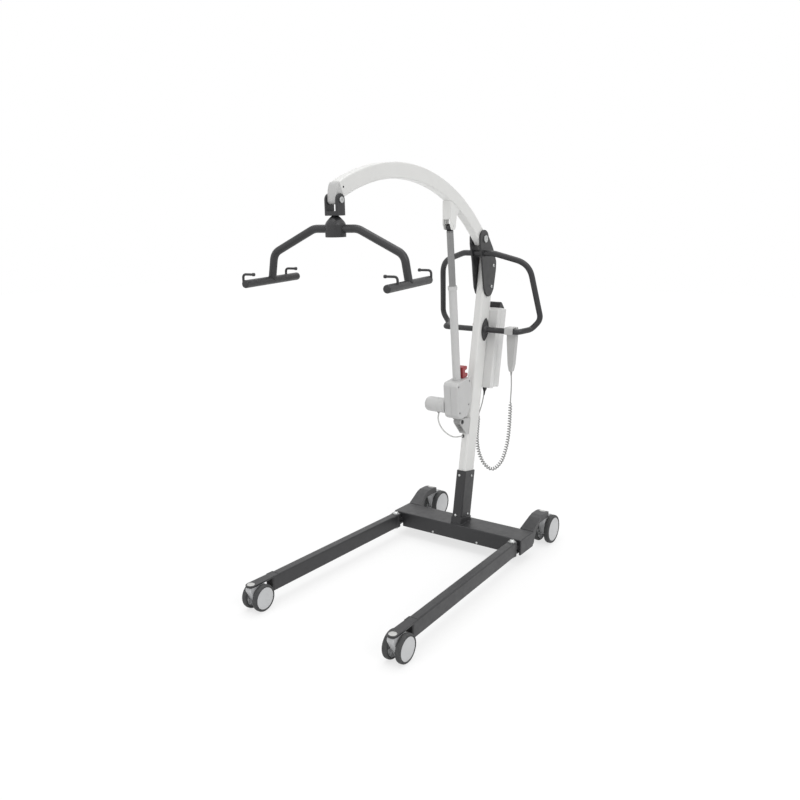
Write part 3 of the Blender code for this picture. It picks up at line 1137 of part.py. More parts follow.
def build_electrics(frame, battery_frame, stop_frame):
    """Control box against the mast's back, battery behind it, stop button and cord gland."""
    half = BOX_WIDTH / 2.0
    near = MAST_DEPTH / 2.0 + GAP
    far = near + BOX_DEPTH
    box = block("control_box", (-half, near, BOX_BOTTOM), (half, far, BOX_TOP), "grey_plastic", frame,
                rounding=0.004, segments=2)
    gland_at = (GLAND_X, near + BOX_DEPTH / 2.0)
    gland = round_bar("cord_gland", GLAND_RADIUS, (*gland_at, BOX_BOTTOM - GLAND_LENGTH),
                      (*gland_at, BOX_BOTTOM + 0.004), "grey_plastic", frame)
    add(box, gland)
    back = far + GAP
    rear = back + BATTERY_DEPTH
    battery = block("battery_pack", (-half, back, BOX_BOTTOM + 0.006), (half, rear, BOX_TOP),
                    "grey_plastic", battery_frame, rounding=0.006, segments=2)
    grip_top = BOX_TOP + BATTERY_GRIP_HEIGHT
    grip_outline = [(back + 0.006, BOX_TOP - 0.004), (back + 0.008, grip_top - 0.004)]
    grip_outline += [(back + 0.014, grip_top), (back + 0.024, grip_top - 0.006)]
    grip_outline += [(rear - 0.006, BOX_TOP + 0.004), (rear - 0.006, BOX_TOP - 0.004)]
    grip = slab("battery_grip", grip_outline, -half + 0.012, half - 0.012, SIDEWAYS, "black_plastic",
                battery_frame, rounding=0.003, segments=1)
    add(battery, grip)
    rim = STOP_BUTTON_RADIUS
    neck = rim * 0.6
    height = STOP_BUTTON_HEIGHT
    profile = [(0.0, height), (rim * 0.7, height), (rim, height - 0.003), (rim, height - 0.005),
               (neck, height - 0.006), (neck, -0.010), (0.0, -0.010)]
    turned("stop_button", profile, "red_plastic", stop_frame, Matrix.Rotation(-math.pi / 2.0, 4, "Y"),
           steps=14)
    bore(box, neck + RUNNING_FIT, (-0.002, 0, 0), (0.020, 0, 0), stop_frame)


def build_pendant(frame, key_frames):
    """The hand pendant behind the low bar, its hook over the bar and four keys on its back face."""
    near = HANDLE_TUBE_RADIUS + GAP
    top = near + PENDANT_HOOK_THICKNESS
    bottom = top - PENDANT_LENGTH
    wide = PENDANT_TOP_HALF_WIDTH
    low = PENDANT_LOW_HALF_WIDTH
    tip = PENDANT_TIP_HALF_WIDTH
    right = [(tip, bottom), (low, bottom + PENDANT_TIP_LENGTH), (wide, top - PENDANT_STRAIGHT_LENGTH)]
    right += [(wide, top)]
    outline = right + [(-x, z) for x, z in reversed(right)]
    shell = slab("pendant_shell", outline, near, near + PENDANT_THICKNESS, FACING_BACK,
                 "mid_grey_plastic", frame, rounding=0.003, segments=2)
    hook_outline = [(near + 0.006, top - 0.0002), (-top, top - 0.0002), (-top, -PENDANT_HOOK_DROP)]
    hook_outline += [(-near, -PENDANT_HOOK_DROP), (-near, near), (near + 0.006, near)]
    hook = slab("pendant_hook", hook_outline, -wide + 0.003, wide - 0.003, SIDEWAYS, "mid_grey_plastic",
                frame)
    add(shell, hook)
    for (name, column, row), key_frame in zip(KEYS, key_frames):
        half_width = KEY_WIDTH / 2.0
        half_height = KEY_HEIGHT / 2.0
        block("key_" + name, (-half_width, -KEY_DEPTH + KEY_TRAVEL + GAP, -half_height),
              (half_width, KEY_PROUD, half_height), "black_plastic", key_frame, rounding=0.0008, segments=1)
        pocket = block("key_pocket_" + name, (-half_width - GAP, -KEY_DEPTH, -half_height - GAP),
                       (half_width + GAP, 0.01, half_height + GAP), "mid_grey_plastic", key_frame)
        cut(shell, pocket)


def smooth_route(points, spacing):
    """Points at even spacing along a smooth curve through the given ones."""
    points = [Vector(point) for point in points]
    dense = []
    ends = [points[0] * 2.0 - points[1]] + points + [points[-1] * 2.0 - points[-2]]
    for before, start, end, after in zip(ends, ends[1:], ends[2:], ends[3:]):
        for step in range(24):
            t = step / 24.0
            a = 2.0 * start
            b = (end - before) * t
            c = (2.0 * before - 5.0 * start + 4.0 * end - after) * t ** 2
            d = (3.0 * start - before - 3.0 * end + after) * t ** 3
            dense.append((a + b + c + d) / 2.0)
    dense.append(points[-1])
    lengths = [0.0]
    for first, second in zip(dense, dense[1:]):
        lengths.append(lengths[-1] + (second - first).length)
    count = max(2, round(lengths[-1] / spacing))
    even = []
    index = 0
    for step in range(count + 1):
        target = lengths[-1] * step / count
        while index < len(lengths) - 2 and lengths[index + 1] < target:
            index += 1
        share = (target - lengths[index]) / (lengths[index + 1] - lengths[index])
        even.append(dense[index].lerp(dense[index + 1], min(1.0, share)))
    return even


def build_pendant_cord(tip, gland, gland_down):
    """One unbroken cord: straight tails, and between them a helix round the route."""
    upper = Vector(CORD_COIL_START)
    rise = Vector(CORD_COIL_END)
    straight = 2.0 * CORD_RADIUS
    below_tip = tip - Vector((0.0, 0.0, straight))
    first_middle = below_tip.lerp(upper, 0.5) + Vector((0.002, 0, 0))
    first_tail = [tip] + smooth_route([below_tip, first_middle, upper], TAIL_POINT_SPACING)
    line = smooth_route([upper] + [Vector(point) for point in CORD_BEND] + [rise], 0.004)
    count = COIL_CURLS * COIL_POINTS_PER_CURL
    side = Vector((0.0, 1.0, 0.0))
    coil = []
    for step in range(count + 1):
        share = step / count
        position = share * (len(line) - 1)
        index = min(int(position), len(line) - 2)
        centre = line[index].lerp(line[index + 1], position - index)
        forward = (line[index + 1] - line[index]).normalized()
        across = (side - forward * side.dot(forward)).normalized()
        outward = forward.cross(across)
        angle = 2.0 * math.pi * step / COIL_POINTS_PER_CURL
        grow = min(1.0, step / COIL_POINTS_PER_CURL, (count - step) / COIL_POINTS_PER_CURL)
        radius = COIL_RADIUS * grow
        coil.append(centre + (across * math.cos(angle) + outward * math.sin(angle)) * radius)
    near_gland = gland + gland_down * straight
    last_middle = rise.lerp(near_gland, 0.5) + Vector((0.003, 0, 0))
    last_tail = smooth_route([rise, last_middle, near_gland], TAIL_POINT_SPACING) + [gland]
    points = first_tail[:-1] + coil + last_tail[1:]
    tube("pendant_cord", points, CORD_RADIUS, "cord_plastic", sides=1)
    report_coil_gap(coil)


def report_coil_gap(coil):
    """Print the least gap between neighbouring curls, leaving out each point's own stretch of cord."""
    least = 1.0
    for index, point in enumerate(coil):
        along = 0.0
        for before, other in zip(coil[index:], coil[index + 1:index + 2 * COIL_POINTS_PER_CURL]):
            along += (other - before).length
            if along > 3.0 * math.pi * CORD_RADIUS:
                least = min(least, (point - other).length)
    print("curly cord: least gap between curls %.2f mm" % ((least - 2.0 * CORD_RADIUS) * 1000.0))


def build_motor_cable():
    """The thin cable from the motor's underside to the front face of the mast."""
    actuator = Matrix.Translation(ACTUATOR_PIN) @ Matrix.Rotation(ACTUATOR_TILT, 4, "X")
    motor = actuator @ Vector((-0.074, -MOTOR_AHEAD, MOTOR_UP - MOTOR_RADIUS - GAP))
    down = (actuator.to_3x3() @ Vector((0, 0, -1.0))).normalized()
    face = MAST_FRAME @ Vector((-0.009, -MAST_DEPTH / 2.0 - GAP, 0.334))
    out = (MAST_FRAME.to_3x3() @ Vector((0, -1.0, 0))).normalized()
    start = motor + down * 2.0 * MOTOR_CABLE_RADIUS
    end = face + out * 2.0 * MOTOR_CABLE_RADIUS
    points = [motor] + smooth_route([start] + MOTOR_CABLE_BEND + [end], TAIL_POINT_SPACING) + [face]
    tube("motor_cable", points, MOTOR_CABLE_RADIUS, "cord_plastic", sides=1)


def leg_frame(side):
    place_at = Matrix.Translation((side * LEG_PIVOT_X, LEG_PIVOT_Y, 0.0))
    return place_at @ Matrix.Rotation(side * LEG_SPLAY, 4, "Z")


def build_lift():
    start_scene()
    build_crossbar()
    for side, hand in ((-1.0, "left"), (1.0, "right")):
        matrix = leg_frame(side)
        build_leg(side, axis_frame("leg_" + hand + "_axis", matrix))
        build_pivot_bolt(side)
        build_rear_arm(side)
        swivel = matrix @ Vector((0.0, -FRONT_SWIVEL_FROM_PIVOT, 0.0))
        build_caster("front_" + hand, swivel, NOSE_LOW, NOSE_BORE_TOP, FRONT_WHEEL_DIAMETER,
                     FRONT_WHEEL_WIDTH, FRONT_CASTER_WIDTH, FRONT_TRAIL, pedal=False)
        build_caster("rear_" + hand, (side * REAR_SWIVEL_X, REAR_SWIVEL_Y, 0.0), REAR_PLATE_LOW,
                     REAR_BORE_TOP, REAR_WHEEL_DIAMETER, REAR_WHEEL_WIDTH, REAR_CASTER_WIDTH, REAR_TRAIL,
                     pedal=True)
    build_spreader()

    mast_frame = axis_frame("mast_lean", MAST_FRAME)
    build_mast(mast_frame)
    build_mast_head(mast_frame)
    build_push_handle(mast_frame)

    boom_frame = axis_frame("boom_axis", Matrix.Translation(BOOM_PIVOT))
    build_boom(boom_frame)
    build_boom_nose(boom_frame)
    build_boom_bracket(boom_frame)
    hanging = Matrix.Translation(HANGER_PIN) @ Matrix.Rotation(HANGER_LEAN, 4, "X")
    clevis_frame = axis_frame("hanger_swing_axis", hanging)
    spin_frame = axis_frame("hanger_spin_axis", Matrix.Rotation(HANGER_YAW, 4, "Z"), clevis_frame)
    build_hanger(clevis_frame, spin_frame)

    build_actuator_bracket(mast_frame)
    tilt = Matrix.Rotation(ACTUATOR_TILT, 4, "X")
    actuator_frame = axis_frame("actuator_axis", Matrix.Translation(ACTUATOR_PIN) @ tilt)
    rod_frame = axis_frame("actuator_eye", Matrix.Translation((0.0, 0.0, ACTUATOR_LENGTH)), actuator_frame)
    knob_at = Matrix.Translation((0.0, LOWERING_KNOB_BEHIND, GEARBOX_TOP + GAP))
    knob_frame = axis_frame("lowering_knob_axis", knob_at, actuator_frame)
    build_actuator(actuator_frame, rod_frame, knob_frame)

    battery_frame = axis_frame("battery_slide", Matrix.Identity(4), mast_frame)
    box_middle = MAST_DEPTH / 2.0 + GAP + BOX_DEPTH / 2.0
    stop_at = Matrix.Translation((-BOX_WIDTH / 2.0, box_middle, BOX_TOP - STOP_BUTTON_BELOW_BOX_TOP))
    stop_frame = axis_frame("stop_button_axis", stop_at, mast_frame)
    build_electrics(mast_frame, battery_frame, stop_frame)

    bar_at = Matrix.Translation((PENDANT_X, HANDLE_BAR.y, HANDLE_BAR.z))
    pendant_frame = axis_frame("pendant_frame", bar_at)
    face = HANDLE_TUBE_RADIUS + GAP + PENDANT_THICKNESS
    key_frames = []
    for name, column, row in KEYS:
        key_at = Matrix.Translation((column * KEY_PITCH_X, face, row * KEY_PITCH_Z - KEYS_BELOW_BAR))
        key_frames.append(axis_frame("key_axis_" + name, key_at, pendant_frame))
    build_pendant(pendant_frame, key_frames)

    tip_y = HANDLE_BAR.y + HANDLE_TUBE_RADIUS + GAP + PENDANT_THICKNESS / 2.0
    tip_z = HANDLE_BAR.z + HANDLE_TUBE_RADIUS + GAP + PENDANT_HOOK_THICKNESS - PENDANT_LENGTH
    tip = Vector((PENDANT_X, tip_y, tip_z - GAP))
    gland = MAST_FRAME @ Vector((GLAND_X, box_middle, BOX_BOTTOM - GLAND_LENGTH - GAP))
    gland_down = (MAST_FRAME.to_3x3() @ Vector((0.0, 0.0, -1.0))).normalized()
    build_pendant_cord(tip, gland, gland_down)
    build_motor_cable()


build_lift()
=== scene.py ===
import math

import bmesh
import bpy
from mathutils import Matrix, Vector


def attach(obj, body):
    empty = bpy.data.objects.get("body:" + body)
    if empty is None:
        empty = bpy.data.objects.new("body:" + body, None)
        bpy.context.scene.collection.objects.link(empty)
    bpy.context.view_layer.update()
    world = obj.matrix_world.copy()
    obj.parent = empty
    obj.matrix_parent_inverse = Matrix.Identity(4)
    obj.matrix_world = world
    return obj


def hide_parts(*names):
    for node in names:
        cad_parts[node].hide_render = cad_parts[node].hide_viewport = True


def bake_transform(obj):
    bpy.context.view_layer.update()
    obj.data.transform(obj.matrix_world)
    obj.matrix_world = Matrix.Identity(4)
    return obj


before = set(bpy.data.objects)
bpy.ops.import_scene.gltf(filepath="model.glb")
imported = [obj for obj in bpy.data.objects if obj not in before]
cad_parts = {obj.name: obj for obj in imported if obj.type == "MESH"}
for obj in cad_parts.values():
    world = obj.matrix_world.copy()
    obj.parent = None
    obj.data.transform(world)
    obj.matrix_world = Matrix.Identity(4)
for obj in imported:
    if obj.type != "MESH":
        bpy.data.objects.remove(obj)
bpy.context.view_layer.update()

# The studio: one camera at the photograph's place, to the lift's right front and a little above
# its control box, a pale floor that fades to white, and large soft lamps.
camera = bpy.data.objects.new("camera", bpy.data.cameras.new("camera"))
bpy.context.scene.collection.objects.link(camera)
camera.data.lens = 35.46
camera.data.sensor_width = 36.0
camera.location = (1.6083, -2.8257, 1.3624)
camera.rotation_euler = (math.radians(90.0 - 12.43), 0.0, math.radians(34.378))
bpy.context.scene.camera = camera
bpy.context.scene.view_settings.view_transform = "Standard"


def to_linear(hex_colour):
    """An sRGB hex colour as linear RGBA."""
    parts = [int(hex_colour[i:i + 2], 16) / 255.0 for i in (1, 3, 5)]
    return [p / 12.92 if p <= 0.04045 else ((p + 0.055) / 1.055) ** 2.4 for p in parts] + [1.0]


def add_node(tree, kind, settings=None, links=None):
    """One node in a tree, with its settings by attribute or input, and what feeds its inputs."""
    added = tree.nodes.new(kind)
    for key, value in (settings or {}).items():
        if isinstance(key, str) and hasattr(added, key):
            setattr(added, key, value)
        else:
            added.inputs[key].default_value = value
    for key, source in (links or {}).items():
        tree.links.new(source, added.inputs[key])
    return added


def shown_white(tree, lit, share, strength):
    """Mix a lit shader with plain white where the camera, gloss or glass looks at the backdrop."""
    path = add_node(tree, "ShaderNodeLightPath")
    seen = add_node(tree, "ShaderNodeMath", {"operation": "MAXIMUM"},
                    {0: path.outputs["Is Camera Ray"], 1: path.outputs["Is Glossy Ray"]})
    seen = add_node(tree, "ShaderNodeMath", {"operation": "MAXIMUM"},
                    {0: seen.outputs[0], 1: path.outputs["Is Transmission Ray"]})
    faded = add_node(tree, "ShaderNodeMath", {"operation": "MULTIPLY", 1: share}, {0: seen.outputs[0]})
    white = add_node(tree, "ShaderNodeEmission", {"Color": (1.0, 1.0, 1.0, 1.0), "Strength": strength})
    return add_node(tree, "ShaderNodeMixShader", {},
                    {0: faded.outputs[0], 1: lit, 2: white.outputs[0]})


studio = bpy.data.worlds.new("studio")
bpy.context.scene.world = studio
studio.use_nodes = True
studio.node_tree.nodes.clear()
air = add_node(studio.node_tree, "ShaderNodeBackground", {"Color": (1.0, 1.0, 1.0, 1.0), "Strength": 0.40})
backdrop = shown_white(studio.node_tree, air.outputs[0], share=1.0, strength=1.0)
add_node(studio.node_tree, "ShaderNodeOutputWorld", {}, {"Surface": backdrop.outputs[0]})

pale_floor = bpy.data.materials.new("pale_studio_floor")
pale_floor.use_nodes = True
pale_floor.node_tree.nodes.clear()
matte = add_node(pale_floor.node_tree, "ShaderNodeBsdfDiffuse", {"Color": to_linear("#f2f2f2")})
floor_look = shown_white(pale_floor.node_tree, matte.outputs[0], share=0.66, strength=1.06)
add_node(pale_floor.node_tree, "ShaderNodeOutputMaterial", {}, {"Surface": floor_look.outputs[0]})
# The floor lies a hair below the tyres, so that no face of theirs shares its plane
FLOOR_REACH = 14.0
FLOOR_LEVEL = Matrix.Translation((0, 0, -0.0003))
floor_shape = bmesh.new()
bmesh.ops.create_grid(floor_shape, x_segments=2, y_segments=2, size=FLOOR_REACH, matrix=FLOOR_LEVEL)
floor_mesh = bpy.data.meshes.new("studio_floor")
floor_shape.to_mesh(floor_mesh)
floor_shape.free()
floor_mesh.materials.append(pale_floor)
studio_floor = bpy.data.objects.new("studio_floor", floor_mesh)
bpy.context.scene.collection.objects.link(studio_floor)

# Three soft lights: a wide one from above, a key light from the lift's right, and a fill from
# its front that keeps the mast's front as pale as its side
for name, way, softness, strength in (("top_light", (0.1, -0.15, -1.0), 60.0, 1.5),
                                      ("key_light", (-0.80, 0.20, -0.58), 35.0, 0.9),
                                      ("fill_light", (0.15, 1.0, -0.30), 80.0, 0.65)):
    light = bpy.data.objects.new(name, bpy.data.lights.new(name, "SUN"))
    light.data.angle = math.radians(softness)
    light.data.energy = strength
    light.rotation_euler = Vector(way).to_track_quat("-Z", "Y").to_euler()
    light.location = -3.0 * Vector(way)
    bpy.context.scene.collection.objects.link(light)

# The pendant's cord: a three-core control lead with a soft PVC jacket, wound hot into a curly
# stretch that springs back. It leaves a gland under the control box and goes into the pendant.
LEAN = math.radians(9.45)
MAST = Matrix.Translation((0.0, 0.0, 0.150)) @ Matrix.Rotation(-LEAN, 4, "X")
CORD_RADIUS = 0.0025
CURL_RADIUS = 0.0062
CURLS = 52
POINTS_PER_CURL = 14
CURLY_START = Vector((0.131, 0.176, 0.630))
CURLY_END = Vector((-0.006, 0.147, 0.560))
CURLY_ROUTE = [
    (0.130, 0.176, 0.560), (0.127, 0.176, 0.490), (0.119, 0.174, 0.425), (0.098, 0.170, 0.354),
    (0.060, 0.163, 0.314), (0.021, 0.157, 0.333), (-0.004, 0.152, 0.382), (-0.013, 0.149, 0.440),
    (-0.011, 0.148, 0.500),
]
PENDANT_X = 0.138
PENDANT_TIP = Vector((PENDANT_X, 0.16075, 0.76023))
GLAND_END = MAST @ Vector((0.022, 0.0543, 0.5327))


def start_finish(name, settings):
    """A new material with its shader's settings; gives it, its tree and the place on the piece."""
    finish = bpy.data.materials.new(name)
    finish.use_nodes = True
    tree = finish.node_tree
    for socket, value in settings.items():
        tree.nodes["Principled BSDF"].inputs[socket].default_value = value
    return finish, tree, add_node(tree, "ShaderNodeTexCoord").outputs["Object"]


def end_finish(tree, colour, roughness, relief, strength, distance):
    """Lead a finish's colour, its roughness and its fine relief into its shader."""
    bump = add_node(tree, "ShaderNodeBump", {"Strength": strength, "Distance": distance},
                    {"Height": relief})
    shader = tree.nodes["Principled BSDF"]
    for socket, source in (("Base Color", colour), ("Roughness", roughness), ("Normal", bump.outputs[0])):
        tree.links.new(source, shader.inputs[socket])


def pvc_jacket(name, colour, shade):
    """Extruded soft PVC: evenly coloured, half matt, with faint draw marks from the die."""
    finish, tree, on_piece = start_finish(name, {"IOR": 1.53})
    cloud = add_node(tree, "ShaderNodeTexNoise", {"Scale": 60.0, "Detail": 3.0}, {"Vector": on_piece})
    tint = add_node(tree, "ShaderNodeMix", {"data_type": "RGBA", 6: to_linear(colour), 7: to_linear(shade)},
                    {0: cloud.outputs[0]})
    polish = add_node(tree, "ShaderNodeMapRange", {"To Min": 0.42, "To Max": 0.58}, {0: cloud.outputs[0]})
    # Draw marks are some 0.05 mm apart; they are drawn 0.8 mm apart so that they show
    marks = add_node(tree, "ShaderNodeTexNoise", {"Scale": 1250.0, "Detail": 1.0}, {"Vector": on_piece})
    end_finish(tree, tint.outputs[2], polish.outputs[0], marks.outputs[0], strength=0.25, distance=0.00005)
    return finish


def smooth_route(points, spacing):
    """Points at even spacing along a smooth curve through the given ones."""
    points = [Vector(point) for point in points]
    dense = []
    ends = [points[0] * 2.0 - points[1]] + points + [points[-1] * 2.0 - points[-2]]
    fine = 24
    for before, start, end, after in zip(ends, ends[1:], ends[2:], ends[3:]):
        for step in range(fine):
            t = step / fine
            b = (end - before) * t
            c = (2.0 * before - 5.0 * start + 4.0 * end - after) * t ** 2
            d = (3.0 * start - before - 3.0 * end + after) * t ** 3
            dense.append((2.0 * start + b + c + d) / 2.0)
    dense.append(points[-1])
    lengths = [0.0]
    for first, second in zip(dense, dense[1:]):
        lengths.append(lengths[-1] + (second - first).length)
    count = max(2, round(lengths[-1] / spacing))
    even = []
    index = 0
    for step in range(count + 1):
        target = lengths[-1] * step / count
        while index < len(lengths) - 2 and lengths[index + 1] < target:
            index += 1
        share = (target - lengths[index]) / (lengths[index + 1] - lengths[index])
        even.append(dense[index].lerp(dense[index + 1], min(1.0, share)))
    return even


def tube_along(points, radius, sides=12, closed=False):
    """A round tube about a path; the radius is one value, or one for each point."""
    points = [Vector(point) for point in points]
    count = len(points)
    radii = radius if isinstance(radius, list) else [radius] * count
    ways = []
    for i in range(count):
        before = points[i - 1] if i or closed else points[0]
        after = points[(i + 1) % count] if i < count - 1 or closed else points[-1]
        ways.append((after - before).normalized())
    normals = [ways[0].orthogonal().normalized()]
    for way, following in zip(ways, ways[1:]):
        turned_on = way.rotation_difference(following) @ normals[-1]
        normals.append((turned_on - following * turned_on.dot(following)).normalized())
    twist = 0.0
    if closed:
        arrived = ways[-1].rotation_difference(ways[0]) @ normals[-1]
        twist = math.atan2(arrived.cross(normals[0]).dot(ways[0]), arrived.dot(normals[0]))
    tube = bmesh.new()
    rings = []
    for i, (point, way, normal) in enumerate(zip(points, ways, normals)):
        across = way.cross(normal)
        ring = []
        for side in range(sides):
            angle = 2.0 * math.pi * side / sides + twist * i / count
            ring.append(tube.verts.new(
                point + (normal * math.cos(angle) + across * math.sin(angle)) * radii[i]))
        rings.append(ring)
    pairs = list(zip(rings, rings[1:])) + ([(rings[-1], rings[0])] if closed else [])
    for first, second in pairs:
        for side in range(sides):
            other = (side + 1) % sides
            tube.faces.new((first[side], first[other], second[other], second[side]))
    if not closed:
        tube.faces.new(list(reversed(rings[0])))
        tube.faces.new(rings[-1])
    return tube


def make_piece(name, shape, finish, body, nodes=(), smooth=35.0):
    """A finished shape as a piece of the lift: shaded, in its finish and riding on its body."""
    bmesh.ops.recalc_face_normals(shape, faces=shape.faces)
    mesh = bpy.data.meshes.new(name)
    shape.to_mesh(mesh)
    shape.free()
    mesh.shade_smooth()
    mesh.set_sharp_from_angle(angle=math.radians(smooth))
    mesh.materials.append(finish)
    piece = bpy.data.objects.new(name, mesh)
    bpy.context.scene.collection.objects.link(piece)
    even = piece.modifiers.new("even_shading", "WEIGHTED_NORMAL")
    even.keep_sharp = True
    look = bpy.context.evaluated_depsgraph_get()
    applied = piece.evaluated_get(look)
    piece.data = bpy.data.meshes.new_from_object(applied, preserve_all_data_layers=True, depsgraph=look)
    piece.modifiers.clear()
    piece.data.name = name
    if body:
        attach(piece, body)
    if nodes:
        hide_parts(*nodes)
    return piece


# The cord leaves both ends straight, and its uncurled tails hang a little to the side
straight = 2.0 * CORD_RADIUS
below_tip = PENDANT_TIP - Vector((0.0, 0.0, straight))
tail_middle = below_tip.lerp(CURLY_START, 0.5) + Vector((0.002, 0.0, 0.0))
cord_path = [PENDANT_TIP] + smooth_route([below_tip, tail_middle, CURLY_START], spacing=0.012)[:-1]
route = smooth_route([CURLY_START] + [Vector(point) for point in CURLY_ROUTE] + [CURLY_END], spacing=0.004)
# The curls wind round the route, and grow from nothing over the first and the last two of them
curl_points = CURLS * POINTS_PER_CURL
for step in range(curl_points + 1):
    position = step / curl_points * (len(route) - 1)
    index = min(int(position), len(route) - 2)
    centre = route[index].lerp(route[index + 1], position - index)
    forward = (route[index + 1] - route[index]).normalized()
    across = (Vector((0.0, 1.0, 0.0)) - forward * forward.y).normalized()
    angle = 2.0 * math.pi * step / POINTS_PER_CURL
    grow = min(1.0, step / 2.0 / POINTS_PER_CURL, (curl_points - step) / 2.0 / POINTS_PER_CURL)
    grow = grow * grow * (3.0 - 2.0 * grow)
    turn_out = across * math.cos(angle) + forward.cross(across) * math.sin(angle)
    cord_path.append(centre + turn_out * CURL_RADIUS * grow)
gland_way = (MAST.to_3x3() @ Vector((0.0, 0.0, -1.0))).normalized()
near_gland = GLAND_END + gland_way * straight
tail_middle = CURLY_END.lerp(near_gland, 0.5) + Vector((0.003, 0.0, 0.0))
cord_path += smooth_route([CURLY_END, tail_middle, near_gland], spacing=0.012)[1:] + [GLAND_END]
cord_path.reverse()
light_grey_cord = pvc_jacket("extruded_pvc_light_grey", "#a3a3a2", "#999998")
curly_cord = make_piece("curly_cord", tube_along(cord_path, CORD_RADIUS, 10), light_grey_cord, None,
                        ["pendant_cord"], 60.0)
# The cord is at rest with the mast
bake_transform(curly_cord)

# The strain reliefs: soft tapered sleeves, moulded in rings, where the cord leaves the gland and
# where it goes into the pendant.
soft_black = pvc_jacket("moulded_tpe_black", "#303031", "#29292a")
RING_PITCH = 0.0024
in_pendant = PENDANT_TIP + Vector((0.0, 0.0, 0.001))
for name, start, way, body, finish in (
        ("gland_strain_relief", GLAND_END, gland_way, "base", soft_black),
        ("pendant_strain_relief", in_pendant, Vector((0.0, 0.0, -1.0)), "handset", light_grey_cord)):
    sleeve = []
    radii = []
    for ring in range(8):
        for along, grow in ((0.0, 1.0), (0.0013, 1.0), (0.0015, 0.78), (0.0022, 0.78)):
            sleeve.append(start + way * (ring * RING_PITCH + along))
            radii.append((0.0050 - 0.00026 * ring) * grow)
    make_piece(name, tube_along(sleeve, radii, 16), finish, body)

# The motor's lead: a thin light PVC cable from the motor's underside to a dark grommet in the
# front of the mast, hanging in one free bow.
PIN_ON_MAST = (-0.107, 0.401)
PIVOT_ON_MAST = Vector((-0.083, 1.164))
eye = Vector((-0.242, 0.0465))
ACTUATOR_PIN = MAST @ Vector((0.0, *PIN_ON_MAST))
BOOM_PIVOT = MAST @ Vector((0.0, *PIVOT_ON_MAST))
BOOM_EYE = BOOM_PIVOT + Vector((0.0, *eye))
ACTUATOR_TILT = math.atan2(ACTUATOR_PIN.y - BOOM_EYE.y, BOOM_EYE.z - ACTUATOR_PIN.z)
ACTUATOR = Matrix.Translation(ACTUATOR_PIN) @ Matrix.Rotation(ACTUATOR_TILT, 4, "X")
MOTOR_Y = -0.034
MOTOR_Z = 0.076
MOTOR_RADIUS = 0.031
# Parts that meet without touching stand this far apart
FIT = 0.0003
LEAD_RADIUS = 0.003
LEAD_BOW = [(-0.071, -0.088, 0.575), (-0.063, -0.083, 0.545), (-0.048, -0.066, 0.515),
            (-0.027, -0.036, 0.492)]
lead_start = ACTUATOR @ Vector((-0.074, MOTOR_Y, MOTOR_Z - MOTOR_RADIUS - FIT))
lead_down = (ACTUATOR.to_3x3() @ Vector((0.0, 0.0, -1.0))).normalized()
lead_end = MAST @ Vector((-0.009, -0.0403, 0.334))
lead_out = (MAST.to_3x3() @ Vector((0.0, -1.0, 0.0))).normalized()
bow = [lead_start + lead_down * 2.0 * LEAD_RADIUS] + LEAD_BOW + [lead_end + lead_out * 2.0 * LEAD_RADIUS]
lead_path = [lead_start] + smooth_route(bow, spacing=0.005) + [lead_end]
pale_cable = pvc_jacket("extruded_pvc_pale", "#cfcfcd", "#c6c6c4")
motor_lead = make_piece("motor_lead", tube_along(lead_path, LEAD_RADIUS, 14), pale_cable, None,
                        ["motor_cable"], 60.0)
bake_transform(motor_lead)


def turned(profile, place=Matrix.Identity(4), steps=48, closed=False):
    """A lathe shape about the place's Z, from radius and height pairs; closed makes a ring of it."""
    shape = bmesh.new()
    rings = []
    for radius, height in profile:
        if radius < 1e-7:
            rings.append([shape.verts.new(place @ Vector((0.0, 0.0, height)))])
            continue
        ring = []
        for step in range(steps):
            angle = 2.0 * math.pi * step / steps
            across = (radius * math.cos(angle), radius * math.sin(angle))
            ring.append(shape.verts.new(place @ Vector((*across, height))))
        rings.append(ring)
    pairs = list(zip(rings, rings[1:])) + ([(rings[-1], rings[0])] if closed else [])
    for first, second in pairs:
        for step in range(steps):
            other = (step + 1) % steps
            if len(first) == 1:
                shape.faces.new((first[0], second[step], second[other]))
            elif len(second) == 1:
                shape.faces.new((first[step], second[0], first[other]))
            else:
                shape.faces.new((first[step], second[step], second[other], first[other]))
    return shape


# The grommets: moulded rubber rings, one in the mast's front face and one under the motor, each
# with a rounded lip that the lead passes through.
grommet_profile = [(0.0032, 0.0), (0.0068, 0.0), (0.0072, 0.0010), (0.0068, 0.0022), (0.0050, 0.0030),
                   (0.0036, 0.0034), (0.0032, 0.0030)]
for name, point, way, body in (("mast_grommet", lead_end, lead_out, "base"),
                               ("motor_grommet", lead_start, lead_down, "lift_actuator")):
    facing = Matrix.Translation(point) @ way.to_track_quat("Z", "Y").to_matrix().to_4x4()
    make_piece(name, turned(grommet_profile, facing, 32, closed=True), soft_black, body)

# The crossbar: a box of 4 mm steel, folded along its long edges, closed at its ends and open
# below, with a tongue for each leg pivot welded in its front. Dark powder coat over all of it.
BAR_LOW = Vector((-0.314, -0.060, 0.044))
BAR_HIGH = Vector((0.314, 0.060, 0.111))
BAR_WALL = 0.004
LEG_PIVOT = Vector((0.287, -0.088, 0.0))
TONGUE_LOW = 0.073
TONGUE_HIGH = 0.085
TONGUE_HALF = 0.016
CRANK_TOP = 0.061
SIDES = ((-1.0, "left"), (1.0, "right"))


